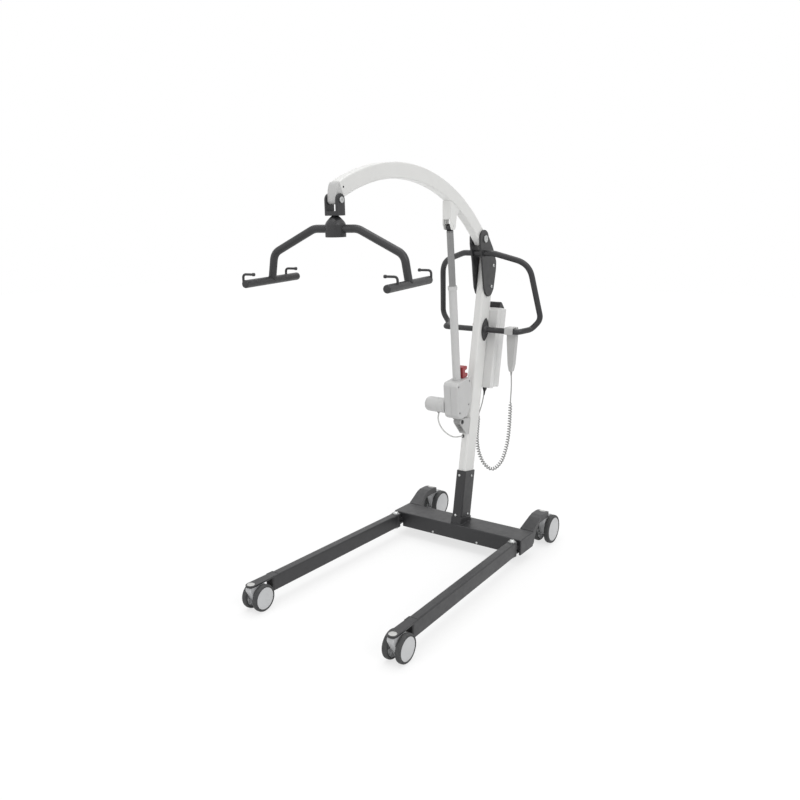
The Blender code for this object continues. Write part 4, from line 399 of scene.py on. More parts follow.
def powder_coat(name, colour, shade, roughness, glint):
    """Baked polyester powder on steel: an even coat with a faint orange peel and a soft gloss."""
    finish, tree, on_piece = start_finish(name, {"IOR": 1.50, "Specular IOR Level": glint})
    # Film thickness drifts over some 80 mm, and handling dulls the gloss in patches of 25 mm
    drift = add_node(tree, "ShaderNodeTexNoise", {"Scale": 12.0, "Detail": 2.0}, {"Vector": on_piece})
    handled = add_node(tree, "ShaderNodeTexNoise", {"Scale": 40.0, "Detail": 4.0}, {"Vector": on_piece})
    tint = add_node(tree, "ShaderNodeMix", {"data_type": "RGBA", 6: to_linear(colour), 7: to_linear(shade)},
                    {0: drift.outputs[0]})
    # Fine specks of pigment and dust, 1.5 mm apart
    speck = add_node(tree, "ShaderNodeTexVoronoi", {"Scale": 650.0}, {"Vector": on_piece})
    dot = add_node(tree, "ShaderNodeMapRange",
                   {"From Min": 0.0, "From Max": 0.22, "To Min": 0.10, "To Max": 0.0},
                   {0: speck.outputs["Distance"]})
    specked = add_node(tree, "ShaderNodeMix", {"data_type": "RGBA", 7: to_linear(shade)},
                       {0: dot.outputs[0], 6: tint.outputs[2]})
    limits = {"From Min": 0.3, "From Max": 0.7, "To Min": roughness - 0.05, "To Max": roughness + 0.06}
    gloss = add_node(tree, "ShaderNodeMapRange", limits, {0: handled.outputs[0]})
    # Orange peel waves are about 2 mm long; they are drawn 3 mm long so that they show
    peel = add_node(tree, "ShaderNodeTexNoise", {"Scale": 330.0, "Detail": 1.5}, {"Vector": on_piece})
    end_finish(tree, specked.outputs[2], gloss.outputs[0], peel.outputs[0], strength=0.20, distance=0.00012)
    return finish


def prism(outline, low, high, place=Matrix.Identity(4), rounding=0.0, segments=3):
    """A flat outline in the place's XY, given thickness along its Z, with its sharp edges rounded."""
    shape = bmesh.new()
    lower = [shape.verts.new(place @ Vector((*point, low))) for point in outline]
    upper = [shape.verts.new(place @ Vector((*point, high))) for point in outline]
    for i, start in enumerate(lower):
        j = (i + 1) % len(lower)
        shape.faces.new((start, lower[j], upper[j], upper[i]))
    shape.faces.new(lower)
    shape.faces.new(upper)
    bmesh.ops.recalc_face_normals(shape, faces=shape.faces)
    return ease_edges(shape, rounding, segments)


def ease_edges(shape, rounding, segments=3, angle=32.0):
    """Round every edge that is sharper than the angle, as a tool's radius or a coat of paint does."""
    if rounding:
        sharp = [edge for edge in shape.edges if edge.calc_face_angle(0.0) > math.radians(angle)]
        bmesh.ops.bevel(shape, geom=sharp, offset=rounding, segments=segments, profile=0.5,
                        affect="EDGES", clamp_overlap=True)
    return shape


def box(low, high, place=Matrix.Identity(4), rounding=0.0, segments=3):
    """A block between two corners with its edges rounded."""
    plan = [(low[0], low[1]), (high[0], low[1]), (high[0], high[1]), (low[0], high[1])]
    return prism(plan, low[2], high[2], place, rounding, segments)


def carve(shape, tools, operation="DIFFERENCE"):
    """Cut other shapes away from this one, or join them to it, as one closed surface."""
    holders = []
    for solid in (shape, *tools):
        bmesh.ops.recalc_face_normals(solid, faces=solid.faces)
        mesh = bpy.data.meshes.new("working")
        solid.to_mesh(mesh)
        solid.free()
        holders.append(bpy.data.objects.new("working", mesh))
        bpy.context.scene.collection.objects.link(holders[-1])
    for tool in holders[1:]:
        step = holders[0].modifiers.new("carve", "BOOLEAN")
        step.solver = "EXACT"
        step.operation = operation
        step.object = tool
    look = bpy.context.evaluated_depsgraph_get()
    mesh = bpy.data.meshes.new_from_object(holders[0].evaluated_get(look), depsgraph=look)
    result = bmesh.new()
    result.from_mesh(mesh)
    bmesh.ops.remove_doubles(result, verts=result.verts, dist=0.000005)
    bmesh.ops.dissolve_limit(result, angle_limit=math.radians(0.3), verts=result.verts, edges=result.edges)
    for holder in holders:
        bpy.data.meshes.remove(holder.data)
    bpy.data.meshes.remove(mesh)
    return result


def merge(*shapes):
    """Several closed shapes in one piece, where they are pressed or welded into each other."""
    whole = shapes[0]
    for other in shapes[1:]:
        mesh = bpy.data.meshes.new("working")
        other.to_mesh(mesh)
        other.free()
        whole.from_mesh(mesh)
        bpy.data.meshes.remove(mesh)
    return whole


def arc(centre, radius, start, end, steps):
    """Points of a circular arc in an outline; angles in degrees."""
    points = []
    for step in range(steps + 1):
        angle = math.radians(start + (end - start) * step / steps)
        points.append((centre[0] + radius * math.cos(angle), centre[1] + radius * math.sin(angle)))
    return points


dark_coat = powder_coat("powder_coat_dark_grey", "#2e2e30", "#282829", 0.40, 0.45)
crossbar = box(BAR_LOW, BAR_HIGH, rounding=0.0045, segments=4)
inside = box((BAR_LOW.x + BAR_WALL, BAR_LOW.y + BAR_WALL, BAR_LOW.z - 0.01),
             (BAR_HIGH.x - BAR_WALL, BAR_HIGH.y - BAR_WALL, BAR_HIGH.z - BAR_WALL))
notches = []
for side in (-1.0, 1.0):
    middle = side * LEG_PIVOT.x
    notches.append(box((middle - 0.019, BAR_LOW.y - 0.01, BAR_LOW.z - 0.01),
                       (middle + 0.019, BAR_LOW.y + 0.009, CRANK_TOP + 0.002)))
crossbar = ease_edges(carve(crossbar, [inside, *notches]), 0.0006, 2, 60.0)
for side in (-1.0, 1.0):
    pivot = (side * LEG_PIVOT.x, LEG_PIVOT.y)
    tongue = [(pivot[0] + TONGUE_HALF, -0.057), (pivot[0] - TONGUE_HALF, -0.057)]
    tongue += arc(pivot, TONGUE_HALF, 180.0, 360.0, 24)
    merge(crossbar, prism(tongue, TONGUE_LOW, TONGUE_HIGH, rounding=0.0012))
make_piece("crossbar", crossbar, dark_coat, "base", ["base_crossbar"])


# The welds: beads of filler laid in small overlapping ripples wherever two steel parts of the
# frame meet, left as laid and coated over. One tree lays the ripples along any path.
def start_tree(name, geometry, sizes, others=()):
    """A geometry tree with its named inputs: a seed, sizes in metres and other kinds, then a finish."""
    tree = bpy.data.node_groups.new(name, "GeometryNodeTree")
    kinds = [(geometry, "Geometry"), *others, *((size, "Float") for size in sizes), ("Finish", "Material")]
    for socket, kind in kinds:
        entry = tree.interface.new_socket(socket, in_out="INPUT", socket_type="NodeSocket" + kind)
        if socket in sizes:
            entry.default_value = sizes[socket]
    tree.interface.new_socket("Made", in_out="OUTPUT", socket_type="NodeSocketGeometry")
    return tree, add_node(tree, "NodeGroupInput").outputs


def end_tree(tree, placed, finish, smooth=True):
    """End a tree: its copies made real, smoothed, given their finish and sent out."""
    made = add_node(tree, "GeometryNodeRealizeInstances", {}, {0: placed})
    if smooth:
        made = add_node(tree, "GeometryNodeSetShadeSmooth", {}, {0: made.outputs[0]})
    coated = add_node(tree, "GeometryNodeSetMaterial", {}, {0: made.outputs[0], "Material": finish})
    add_node(tree, "NodeGroupOutput", {}, {0: coated.outputs[0]})


ripples, given = start_tree("weld_ripples", "Path", {"Bead Radius": 0.002, "Ripple Spacing": 0.0022})
seam = add_node(ripples, "GeometryNodeMeshToCurve", {}, {"Mesh": given["Path"]})
spots = add_node(ripples, "GeometryNodeCurveToPoints", {"mode": "LENGTH"},
                 {"Curve": seam.outputs[0], "Length": given["Ripple Spacing"]})
drop = add_node(ripples, "GeometryNodeMeshUVSphere", {"Segments": 10, "Rings": 6},
                {"Radius": given["Bead Radius"]})
uneven = add_node(ripples, "FunctionNodeRandomValue", {"data_type": "FLOAT", "Seed": 4})
uneven.inputs[2].default_value = 0.88
uneven.inputs[3].default_value = 1.08
laid = add_node(ripples, "GeometryNodeInstanceOnPoints", {},
                {"Points": spots.outputs["Points"], "Instance": drop.outputs[0],
                 "Rotation": spots.outputs["Rotation"], "Scale": uneven.outputs[1]})
end_tree(ripples, laid.outputs[0], given["Finish"])


def grow_piece(name, seed_mesh, tree, values, body):
    """Run a geometry tree on a seed mesh and keep the plain mesh that it gives as a piece."""
    piece = bpy.data.objects.new(name, seed_mesh)
    bpy.context.scene.collection.objects.link(piece)
    maker = piece.modifiers.new("maker", "NODES")
    maker.node_group = tree
    for entry in tree.interface.items_tree:
        if entry.in_out == "INPUT" and entry.name in values:
            maker[entry.identifier] = values[entry.name]
    look = bpy.context.evaluated_depsgraph_get()
    piece.data = bpy.data.meshes.new_from_object(piece.evaluated_get(look), depsgraph=look)
    piece.modifiers.clear()
    piece.data.name = name
    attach(piece, body)


def weld(name, paths, body, radius=0.0022, finish=dark_coat):
    """The beads along some paths, each a list of points, as one piece."""
    seed = bpy.data.meshes.new(name + "_path")
    points = []
    edges = []
    for path in paths:
        edges += [(len(points) + i, len(points) + i + 1) for i in range(len(path) - 1)]
        points += [tuple(point) for point in path]
    seed.from_pydata(points, edges, [])
    values = {"Bead Radius": radius, "Ripple Spacing": radius * 1.05, "Finish": finish}
    grow_piece(name, seed, ripples, values, body)


tongue_welds = []
for middle in (-LEG_PIVOT.x, LEG_PIVOT.x):
    for level in (TONGUE_LOW, TONGUE_HIGH):
        tongue_welds.append([(middle + x, BAR_LOW.y - 0.0005, level) for x in (-0.015, 0.015)])
weld("crossbar_welds", tongue_welds, "base")

# The small bolts: button heads with a hexagon socket, zinc plated, all over the frame. One
# tree sets a head on each marked point, facing the way that the point is marked with.
def zinc_plate(name, colour, shade):
    """Bright zinc plate on steel: a greyish metal, slightly blotched and softly shining."""
    finish, tree, on_piece = start_finish(name, {"Metallic": 1.0})
    # Blotches in the plating are 3 to 5 mm across
    blotch = add_node(tree, "ShaderNodeTexNoise", {"Scale": 260.0, "Detail": 3.0}, {"Vector": on_piece})
    tint = add_node(tree, "ShaderNodeMix", {"data_type": "RGBA", 6: to_linear(colour), 7: to_linear(shade)},
                    {0: blotch.outputs[0]})
    dull = add_node(tree, "ShaderNodeMapRange", {"To Min": 0.24, "To Max": 0.46}, {0: blotch.outputs[0]})
    grain = add_node(tree, "ShaderNodeTexNoise", {"Scale": 1400.0, "Detail": 2.0}, {"Vector": on_piece})
    end_finish(tree, tint.outputs[2], dull.outputs[0], grain.outputs[0], strength=0.15, distance=0.00005)
    return finish


# A head of radius 1 and height 1, which each bolt scales to its own size
bolt_head = bmesh.new()
head_rings = []
CORNERS = 18
for radius, height, hexagonal in ((1.0, 0.0, False), (1.0, 0.30, False), (0.95, 0.58, False),
                                  (0.80, 0.88, False), (0.62, 1.0, False), (0.46, 1.0, True),
                                  (0.44, 0.35, True)):
    ring = []
    for step in range(CORNERS):
        angle = 2.0 * math.pi * step / CORNERS
        reach = radius / math.cos(angle % (math.pi / 3.0) - math.pi / 6.0) if hexagonal else radius
        ring.append(bolt_head.verts.new((reach * math.cos(angle), reach * math.sin(angle), height)))
    head_rings.append(ring)
for first, second in zip(head_rings, head_rings[1:]):
    for step in range(CORNERS):
        other = (step + 1) % CORNERS
        bolt_head.faces.new((first[step], first[other], second[other], second[step]))
bolt_head.faces.new(list(reversed(head_rings[0])))
bolt_head.faces.new(head_rings[-1])
head_mesh = bpy.data.meshes.new("unit_bolt_head")
bolt_head.to_mesh(head_mesh)
bolt_head.free()
head_mesh.shade_smooth()
head_mesh.set_sharp_from_angle(angle=math.radians(35.0))
unit_head = bpy.data.objects.new("unit_bolt_head", head_mesh)

bolting, given = start_tree("bolt_heads", "Marks", {"Head Radius": 0.005, "Head Height": 0.003},
                            [("Head", "Object")])
spots = add_node(bolting, "GeometryNodeMeshToPoints", {}, {"Mesh": given["Marks"]})
facing = add_node(bolting, "GeometryNodeInputNamedAttribute",
                  {"data_type": "FLOAT_VECTOR", "Name": "facing"})
turn = add_node(bolting, "FunctionNodeAlignRotationToVector", {"axis": "Z"}, {"Vector": facing.outputs[0]})
spin = add_node(bolting, "FunctionNodeRandomValue", {"data_type": "FLOAT", "Seed": 7})
spin.inputs[3].default_value = 2.0 * math.pi
about = add_node(bolting, "ShaderNodeCombineXYZ", {}, {"Z": spin.outputs[1]})
spun = add_node(bolting, "FunctionNodeRotateRotation", {"rotation_space": "LOCAL"},
                {"Rotation": turn.outputs[0], "Rotate By": about.outputs[0]})
size = add_node(bolting, "ShaderNodeCombineXYZ", {},
                {"X": given["Head Radius"], "Y": given["Head Radius"], "Z": given["Head Height"]})
head = add_node(bolting, "GeometryNodeObjectInfo", {}, {"Object": given["Head"]})
placed = add_node(bolting, "GeometryNodeInstanceOnPoints", {},
                  {"Points": spots.outputs[0], "Instance": head.outputs["Geometry"],
                   "Rotation": spun.outputs[0], "Scale": size.outputs[0]})
end_tree(bolting, placed.outputs[0], given["Finish"], smooth=False)
bright_zinc = zinc_plate("zinc_plated_steel", "#c9cac8", "#aeb0b1")


def bolts(name, marks, radius, height, finish, body):
    """Bolt heads on marks, each a point and the way that it faces, as one piece."""
    seed = bpy.data.meshes.new(name + "_marks")
    seed.from_pydata([tuple(point) for point, way in marks], [], [])
    facing = seed.attributes.new("facing", "FLOAT_VECTOR", "POINT")
    facing.data.foreach_set("vector", [value for point, way in marks for value in Vector(way).normalized()])
    values = {"Head": unit_head, "Head Radius": radius, "Head Height": height, "Finish": finish}
    grow_piece(name, seed, bolting, values, body)


crossbar_bolts = [((x, y, 0.054), (0.0, way, 0.0)) for y, way in ((BAR_LOW.y, -1.0), (BAR_HIGH.y, 1.0))
                  for x in (-0.109, 0.109)]
bolts("crossbar_bolts", crossbar_bolts, 0.0048, 0.0032, bright_zinc, "base")

# The legs: 60 x 36 mm steel tubes that swing on the crossbar. At the back each is forked round
# its tongue and has a crank below; at the front a plate on top carries the caster.
LEG_SPLAY = math.radians(1.5)
LEG_OPENING = math.radians(12.5)
LEG_LOW = 0.049
LEG_TOP = 0.109
TUBE_FRONT = -0.787
FRONT_SWIVEL = -0.881
NOSE_LOW = 0.1015


def rod(start, end, radius, steps=32, easing=0.0):
    """A round bar between two points, with its end edges eased."""
    start = Vector(start)
    way = Vector(end) - start
    place = Matrix.Translation(start) @ way.to_track_quat("Z", "Y").to_matrix().to_4x4()
    length = way.length
    profile = [(0.0, 0.0), (radius, 0.0), (radius, length), (0.0, length)]
    if easing:
        bevel = easing * 0.3
        profile = [(0.0, 0.0), (radius - easing, 0.0), (radius - bevel, bevel), (radius, easing),
                   (radius, length - easing), (radius - bevel, length - bevel), (radius - easing, length),
                   (0.0, length)]
    return turned(profile, place, steps)


def moulded_plastic(name, colour, shade, roughness, grain):
    """Injection moulded plastic: one even colour and a fine spark-eroded grain from the tool."""
    finish, tree, on_piece = start_finish(name, {"IOR": 1.53})
    flow = add_node(tree, "ShaderNodeTexNoise", {"Scale": 22.0, "Detail": 3.0, "Distortion": 0.6},
                    {"Vector": on_piece})
    tint = add_node(tree, "ShaderNodeMix", {"data_type": "RGBA", 6: to_linear(colour), 7: to_linear(shade)},
                    {0: flow.outputs[0]})
    handled = add_node(tree, "ShaderNodeTexNoise", {"Scale": 90.0, "Detail": 4.0}, {"Vector": on_piece})
    limits = {"From Min": 0.3, "From Max": 0.7, "To Min": roughness - 0.06, "To Max": roughness + 0.07}
    polish = add_node(tree, "ShaderNodeMapRange", limits, {0: handled.outputs[0]})
    # Spark grain pits are 0.1 to 0.3 mm apart; they are drawn 0.9 mm apart so that they show
    pits = add_node(tree, "ShaderNodeTexNoise", {"Scale": 1100.0, "Detail": 2.0}, {"Vector": on_piece})
    end_finish(tree, tint.outputs[2], polish.outputs[0], pits.outputs[0], strength=grain, distance=0.00008)
    return finish


black_nylon = moulded_plastic("moulded_nylon_black", "#262627", "#202021", 0.52, 0.45)
light_abs = moulded_plastic("moulded_abs_light_grey", "#c4c4c2", "#bcbcba", 0.46, 0.35)
leg_frames = {}
for side, hand in SIDES:
    pivot_at = Matrix.Translation((side * LEG_PIVOT.x, LEG_PIVOT.y, 0.0))
    at = pivot_at @ Matrix.Rotation(side * LEG_SPLAY, 4, "Z")
    leg_frames[hand] = at
    tube = box((-0.018, TUBE_FRONT, LEG_LOW), (0.018, 0.0, LEG_TOP), at, 0.006, 5)
    knuckle = turned([(0.0, LEG_LOW), (0.0190, LEG_LOW), (0.020, LEG_LOW + 0.001), (0.020, LEG_TOP - 0.001),
                      (0.0190, LEG_TOP), (0.0, LEG_TOP)], at, 56)
    plate = [(0.019, FRONT_SWIVEL), (0.017, TUBE_FRONT + 0.030), (-0.017, TUBE_FRONT + 0.030),
             (-0.019, FRONT_SWIVEL)]
    plate += arc((0.0, FRONT_SWIVEL), 0.019, 180.0, 360.0, 28)[1:-1]
    nose = prism(plate, NOSE_LOW, LEG_TOP - 0.0002, at, 0.0012)
    lean = Matrix.Rotation(-side * (LEG_OPENING / 2.0 + LEG_SPLAY), 4, "Z")
    crank = [(0.011, 0.0)] + arc((0.0, 0.060), 0.011, 0.0, 180.0, 20) + [(-0.011, 0.0)]
    crank = prism(crank, 0.052, CRANK_TOP, at @ lean, 0.0008)
    pin_at = lean @ Vector((0.0, 0.060, 0.0))
    pin_ends = [at @ Vector((pin_at.x, pin_at.y, z)) for z in (0.054, 0.083)]
    pin = rod(*pin_ends, 0.005, 24, 0.0006)
    fork = turned([(0.0, TONGUE_LOW - FIT), (0.0168, TONGUE_LOW - FIT), (0.0168, TONGUE_HIGH + FIT),
                   (0.0, TONGUE_HIGH + FIT)], at, 48)
    behind = box((-0.03, 0.0, TONGUE_LOW - FIT), (0.03, 0.03, TONGUE_HIGH + FIT), at)
    leg = carve(carve(tube, [knuckle], "UNION"), [fork, behind])
    leg = merge(ease_edges(leg, 0.0005, 2, 60.0), nose, crank, pin)
    make_piece("leg_tube_" + hand, leg, dark_coat, hand + "_leg", ["leg_" + hand])
    rim = [at @ Vector((x, y, LEG_TOP - 0.0004)) for x, y in
           ((-0.0172, TUBE_FRONT + 0.002), (-0.0172, TUBE_FRONT + 0.0305), (0.0172, TUBE_FRONT + 0.0305),
            (0.0172, TUBE_FRONT + 0.002))]
    root = [at @ Vector((x, -0.0195, LEG_TOP - 0.0008)) for x in (-0.0150, 0.0150)]
    weld("leg_welds_" + hand, [rim, root], hand + "_leg", 0.0016)
    # A plug closes the tube's open front end below the plate
    plug = box((-0.0165, TUBE_FRONT - 0.0022, LEG_LOW + 0.0015),
               (0.0165, TUBE_FRONT + 0.004, NOSE_LOW - 0.001), at, 0.0020, 4)
    make_piece("leg_end_plug_" + hand, plug, black_nylon, hand + "_leg")
    # A snap-on cap covers the caster's stem on top of the plate
    cap = [(0.0, 0.0022), (0.0075, 0.0020), (0.0115, 0.0013), (0.0140, 0.0002), (0.0145, -0.0012),
           (0.0, -0.0012)]
    cap = turned(cap, at @ Matrix.Translation((0.0, FRONT_SWIVEL, LEG_TOP)), 40)
    make_piece("caster_stem_cap_front_" + hand, cap, light_abs, hand + "_leg")

# The leg pivot bolts: shouldered M12 bolts from above, with a domed head that has a hexagon
# socket, a washer under it, and a lock nut below. Zinc plated.
for side, hand in SIDES:
    at = Matrix.Translation((side * LEG_PIVOT.x, LEG_PIVOT.y, 0.0))
    head = [(0.0, 0.1138), (0.0036, 0.1138), (0.0036, 0.1183), (0.0060, 0.1183), (0.0088, 0.1172),
            (0.0108, 0.1150), (0.0115, 0.1118), (0.0115, 0.1106), (0.0062, 0.1106), (0.0062, 0.0486),
            (0.0, 0.0486)]
    washer = turned([(0.0062, 0.1106), (0.0140, 0.1106), (0.0143, 0.1102), (0.0143, 0.1096),
                     (0.0140, 0.1093), (0.0062, 0.1093)], at, 48, closed=True)
    nut = prism(arc((0.0, 0.0), 0.0112, 0.0, 300.0, 5), 0.0407, 0.0487, at, 0.0010, 2)
    bolt = merge(turned(head, at, 48), washer, nut)
    make_piece("leg_pivot_" + hand, bolt, bright_zinc, "base", ["leg_pivot_bolt_" + hand])

# The leg spreader: a small electric actuator lying in the crossbar, with a moulded body and a
# plated rod. Its eyes sit on the two crank pins and draw them together, which swings the legs apart.
def refinish(name, finish):
    """Give a hidden solid its real finish; its shape is shown as it is."""
    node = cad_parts[name]
    node.data.materials.clear()
    node.data.materials.append(finish)


refinish("spreader_actuator_body", light_abs)
refinish("spreader_actuator_rod", bright_zinc)

# The rear caster arms: bent steel boxes bolted to the crossbar's back. They rise over the big
# rear casters and end in a rounded plate with a cap over the caster's stem.
REAR_SWIVEL = Vector((0.287, 0.208, 0.0))
ARM_LOW = 0.1285
ARM_HIGH = 0.155
ARM_OUTER = 0.312
ARM_INNER = 0.250
ARM_BACK = 0.0603
SIDEWAYS = Matrix(((0, 0, 1, 0), (1, 0, 0, 0), (0, 1, 0, 0), (0, 0, 0, 1)))
arm_profile = [(ARM_BACK, 0.050), (ARM_BACK + 0.010, 0.054), (ARM_BACK + 0.020, 0.084),
               (ARM_BACK + 0.046, ARM_LOW - 0.014), (ARM_BACK + 0.066, ARM_LOW), (0.235, ARM_LOW),
               (0.235, ARM_LOW + 0.010), (0.219, ARM_HIGH - 0.004), (0.193, ARM_HIGH),
               (ARM_BACK + 0.088, ARM_HIGH), (ARM_BACK + 0.066, ARM_HIGH - 0.006), (ARM_BACK, 0.111)]


def rounded_path(corners, radii, steps=8):
    """Points along straight runs whose corners are rounded by the given radii; 0 keeps a corner."""
    corners = [Vector(corner) for corner in corners]
    count = len(corners)
    path = []
    for index, corner in enumerate(corners):
        if not radii[index]:
            path.append(corner)
            continue
        before = (corners[index - 1] - corner).normalized()
        after = (corners[(index + 1) % count] - corner).normalized()
        reach = radii[index] * math.tan((math.pi - before.angle(after)) / 2.0)
        for step in range(steps + 1):
            t = step / steps
            path.append((corner + before * reach * (1.0 - t)).lerp(corner + after * reach * t, t))
    return path


def rounded_outline(corners, radii, steps=6):
    """A flat closed outline with rounded corners."""
    path = rounded_path([(*corner, 0.0) for corner in corners], radii, steps)
    return [(point.x, point.y) for point in path]


bend_radii = [0.0, 0.010, 0.030, 0.030, 0.030, 0.0, 0.008, 0.020, 0.030, 0.040, 0.040, 0.0]
arm_profile = rounded_outline(arm_profile, bend_radii)
for side, hand in SIDES:
    inner, outer = sorted((side * (ARM_OUTER + 0.001), side * (ARM_INNER - 0.001)))
    plan = arc((REAR_SWIVEL.x, REAR_SWIVEL.y), 0.025, 0.0, 180.0, 36)
    plan += [(REAR_SWIVEL.x - 0.025, ARM_BACK + 0.070), (ARM_INNER, ARM_BACK - 0.005),
             (ARM_OUTER, ARM_BACK - 0.005)]
    plan = [(side * x, y) for x, y in plan]
    arm = carve(prism(arm_profile, inner, outer, SIDEWAYS), [prism(plan, 0.034, ARM_HIGH + 0.01)],
                "INTERSECT")
    arm = ease_edges(arm, 0.0022, 3, 40.0)
    make_piece("rear_caster_arm_" + hand, arm, dark_coat, "base", ["rear_arm_" + hand])
    arm_bolts = [((side * x, ARM_BACK + 0.004, 0.1045), (0.0, 0.5, 0.86)) for x in (0.264, 0.298)]
    bolts("rear_arm_bolts_" + hand, arm_bolts, 0.0050, 0.0030, bright_zinc, "base")
    # The cap lies on the plate where the arm's back begins to fall away
    cap_at = Matrix.Translation((side * REAR_SWIVEL.x, REAR_SWIVEL.y - 0.003, ARM_HIGH - 0.0035))
    cap_at = cap_at @ Matrix.Rotation(math.radians(-9.0), 4, "X")
    cap = [(0.0, 0.0030), (0.0080, 0.0027), (0.0130, 0.0018), (0.0160, 0.0004), (0.0166, -0.0020),
           (0.0, -0.0020)]
    cap = turned(cap, cap_at, 40)
    make_piece("caster_stem_cap_rear_" + hand, cap, light_abs, "base")

# The casters: four twin-wheel swivel casters, 100 mm in front and 125 mm behind. Each has a grey
# nylon hood between two wheels with grey hub discs and thin dark tyres; the rear ones have a brake.
# Soft polyurethane, matt, with a dusty tread and a scuff every few centimetres
tyre_rubber, tree, on_piece = start_finish("moulded_polyurethane_tyre_dark_grey", {"IOR": 1.50})
scuff = add_node(tree, "ShaderNodeTexNoise", {"Scale": 70.0, "Detail": 5.0, "Roughness": 0.65},
                 {"Vector": on_piece})
dusty = add_node(tree, "ShaderNodeMapRange", {"From Min": 0.45, "From Max": 0.75}, {0: scuff.outputs[0]})
tint = add_node(tree, "ShaderNodeMix", {"data_type": "RGBA", 6: to_linear("#38393a"),
                                        7: to_linear("#4c4c4b")}, {0: dusty.outputs[0]})
dull = add_node(tree, "ShaderNodeMapRange", {"To Min": 0.62, "To Max": 0.85}, {0: scuff.outputs[0]})
fine = add_node(tree, "ShaderNodeTexNoise", {"Scale": 900.0, "Detail": 2.0}, {"Vector": on_piece})
end_finish(tree, tint.outputs[2], dull.outputs[0], fine.outputs[0], strength=0.4, distance=0.0001)
hub_nylon = moulded_plastic("moulded_nylon_wheel_grey", "#c6c7c8", "#bdbebf", 0.42, 0.30)
hood_nylon = moulded_plastic("moulded_nylon_hood_grey", "#bcbdbe", "#b3b4b5", 0.46, 0.35)

# Ribs and treads: one tree sets a row of small rounded bars between two ends.
ribbing, given = start_tree("rib_row", "Spots", {"Rib Radius": 0.0007, "Rib Length": 0.02})
spots = add_node(ribbing, "GeometryNodeMeshToPoints", {}, {"Mesh": given["Spots"]})
facing = add_node(ribbing, "GeometryNodeInputNamedAttribute",
                  {"data_type": "FLOAT_VECTOR", "Name": "facing"})
along = add_node(ribbing, "GeometryNodeInputNamedAttribute", {"data_type": "FLOAT_VECTOR", "Name": "along"})
turn = add_node(ribbing, "FunctionNodeAxesToRotation", {"primary_axis": "Z", "secondary_axis": "Y"},
                {"Primary Axis": along.outputs[0], "Secondary Axis": facing.outputs[0]})
bar = add_node(ribbing, "GeometryNodeMeshCylinder", {"Vertices": 12},
               {"Radius": given["Rib Radius"], "Depth": given["Rib Length"]})
ends = add_node(ribbing, "GeometryNodeMeshUVSphere", {"Segments": 12, "Rings": 6},
                {"Radius": given["Rib Radius"]})
whole = add_node(ribbing, "GeometryNodeJoinGeometry", {}, {0: bar.outputs["Mesh"]})
for share in (0.5, -0.5):
    reach = add_node(ribbing, "ShaderNodeMath", {"operation": "MULTIPLY", 1: share},
                     {0: given["Rib Length"]})
    shift = add_node(ribbing, "ShaderNodeCombineXYZ", {}, {"Z": reach.outputs[0]})
    tip = add_node(ribbing, "GeometryNodeTransform", {},
                   {"Geometry": ends.outputs["Mesh"], "Translation": shift.outputs[0]})
    ribbing.links.new(tip.outputs[0], whole.inputs[0])
placed = add_node(ribbing, "GeometryNodeInstanceOnPoints", {},
                  {"Points": spots.outputs[0], "Instance": whole.outputs[0], "Rotation": turn.outputs[0]})
end_tree(ribbing, placed.outputs[0], given["Finish"])


def ribs(name, spots_at, facing, along, radius, length, finish, body):
    """A row of ribs at some points, all facing one way and lying along another."""
    seed = bpy.data.meshes.new(name + "_spots")
    seed.from_pydata([tuple(point) for point in spots_at], [], [])
    for label, way in (("facing", facing), ("along", along)):
        mark = seed.attributes.new(label, "FLOAT_VECTOR", "POINT")
        mark.data.foreach_set("vector", list(Vector(way).normalized()) * len(spots_at))
    grow_piece(name, seed, ribbing, {"Rib Radius": radius, "Rib Length": length, "Finish": finish}, body)


def toward(side):
    """A turn that lays a lathe's axis across the lift: 1 points it to the right, -1 to the left."""
    return Matrix.Rotation(side * math.pi / 2.0, 4, "Y")


def rod_across(place, reach, y, z, radius, steps=32, easing=0.0):
    """A round bar that lies across the lift, as far to the left as to the right of the place."""
    left, right = [place @ Vector((x, y, z)) for x in (-reach, reach)]
    return rod(left, right, radius, steps, easing)


front_swivels = {hand: leg_frames[hand] @ Vector((0.0, FRONT_SWIVEL, 0.0)) for hand in leg_frames}
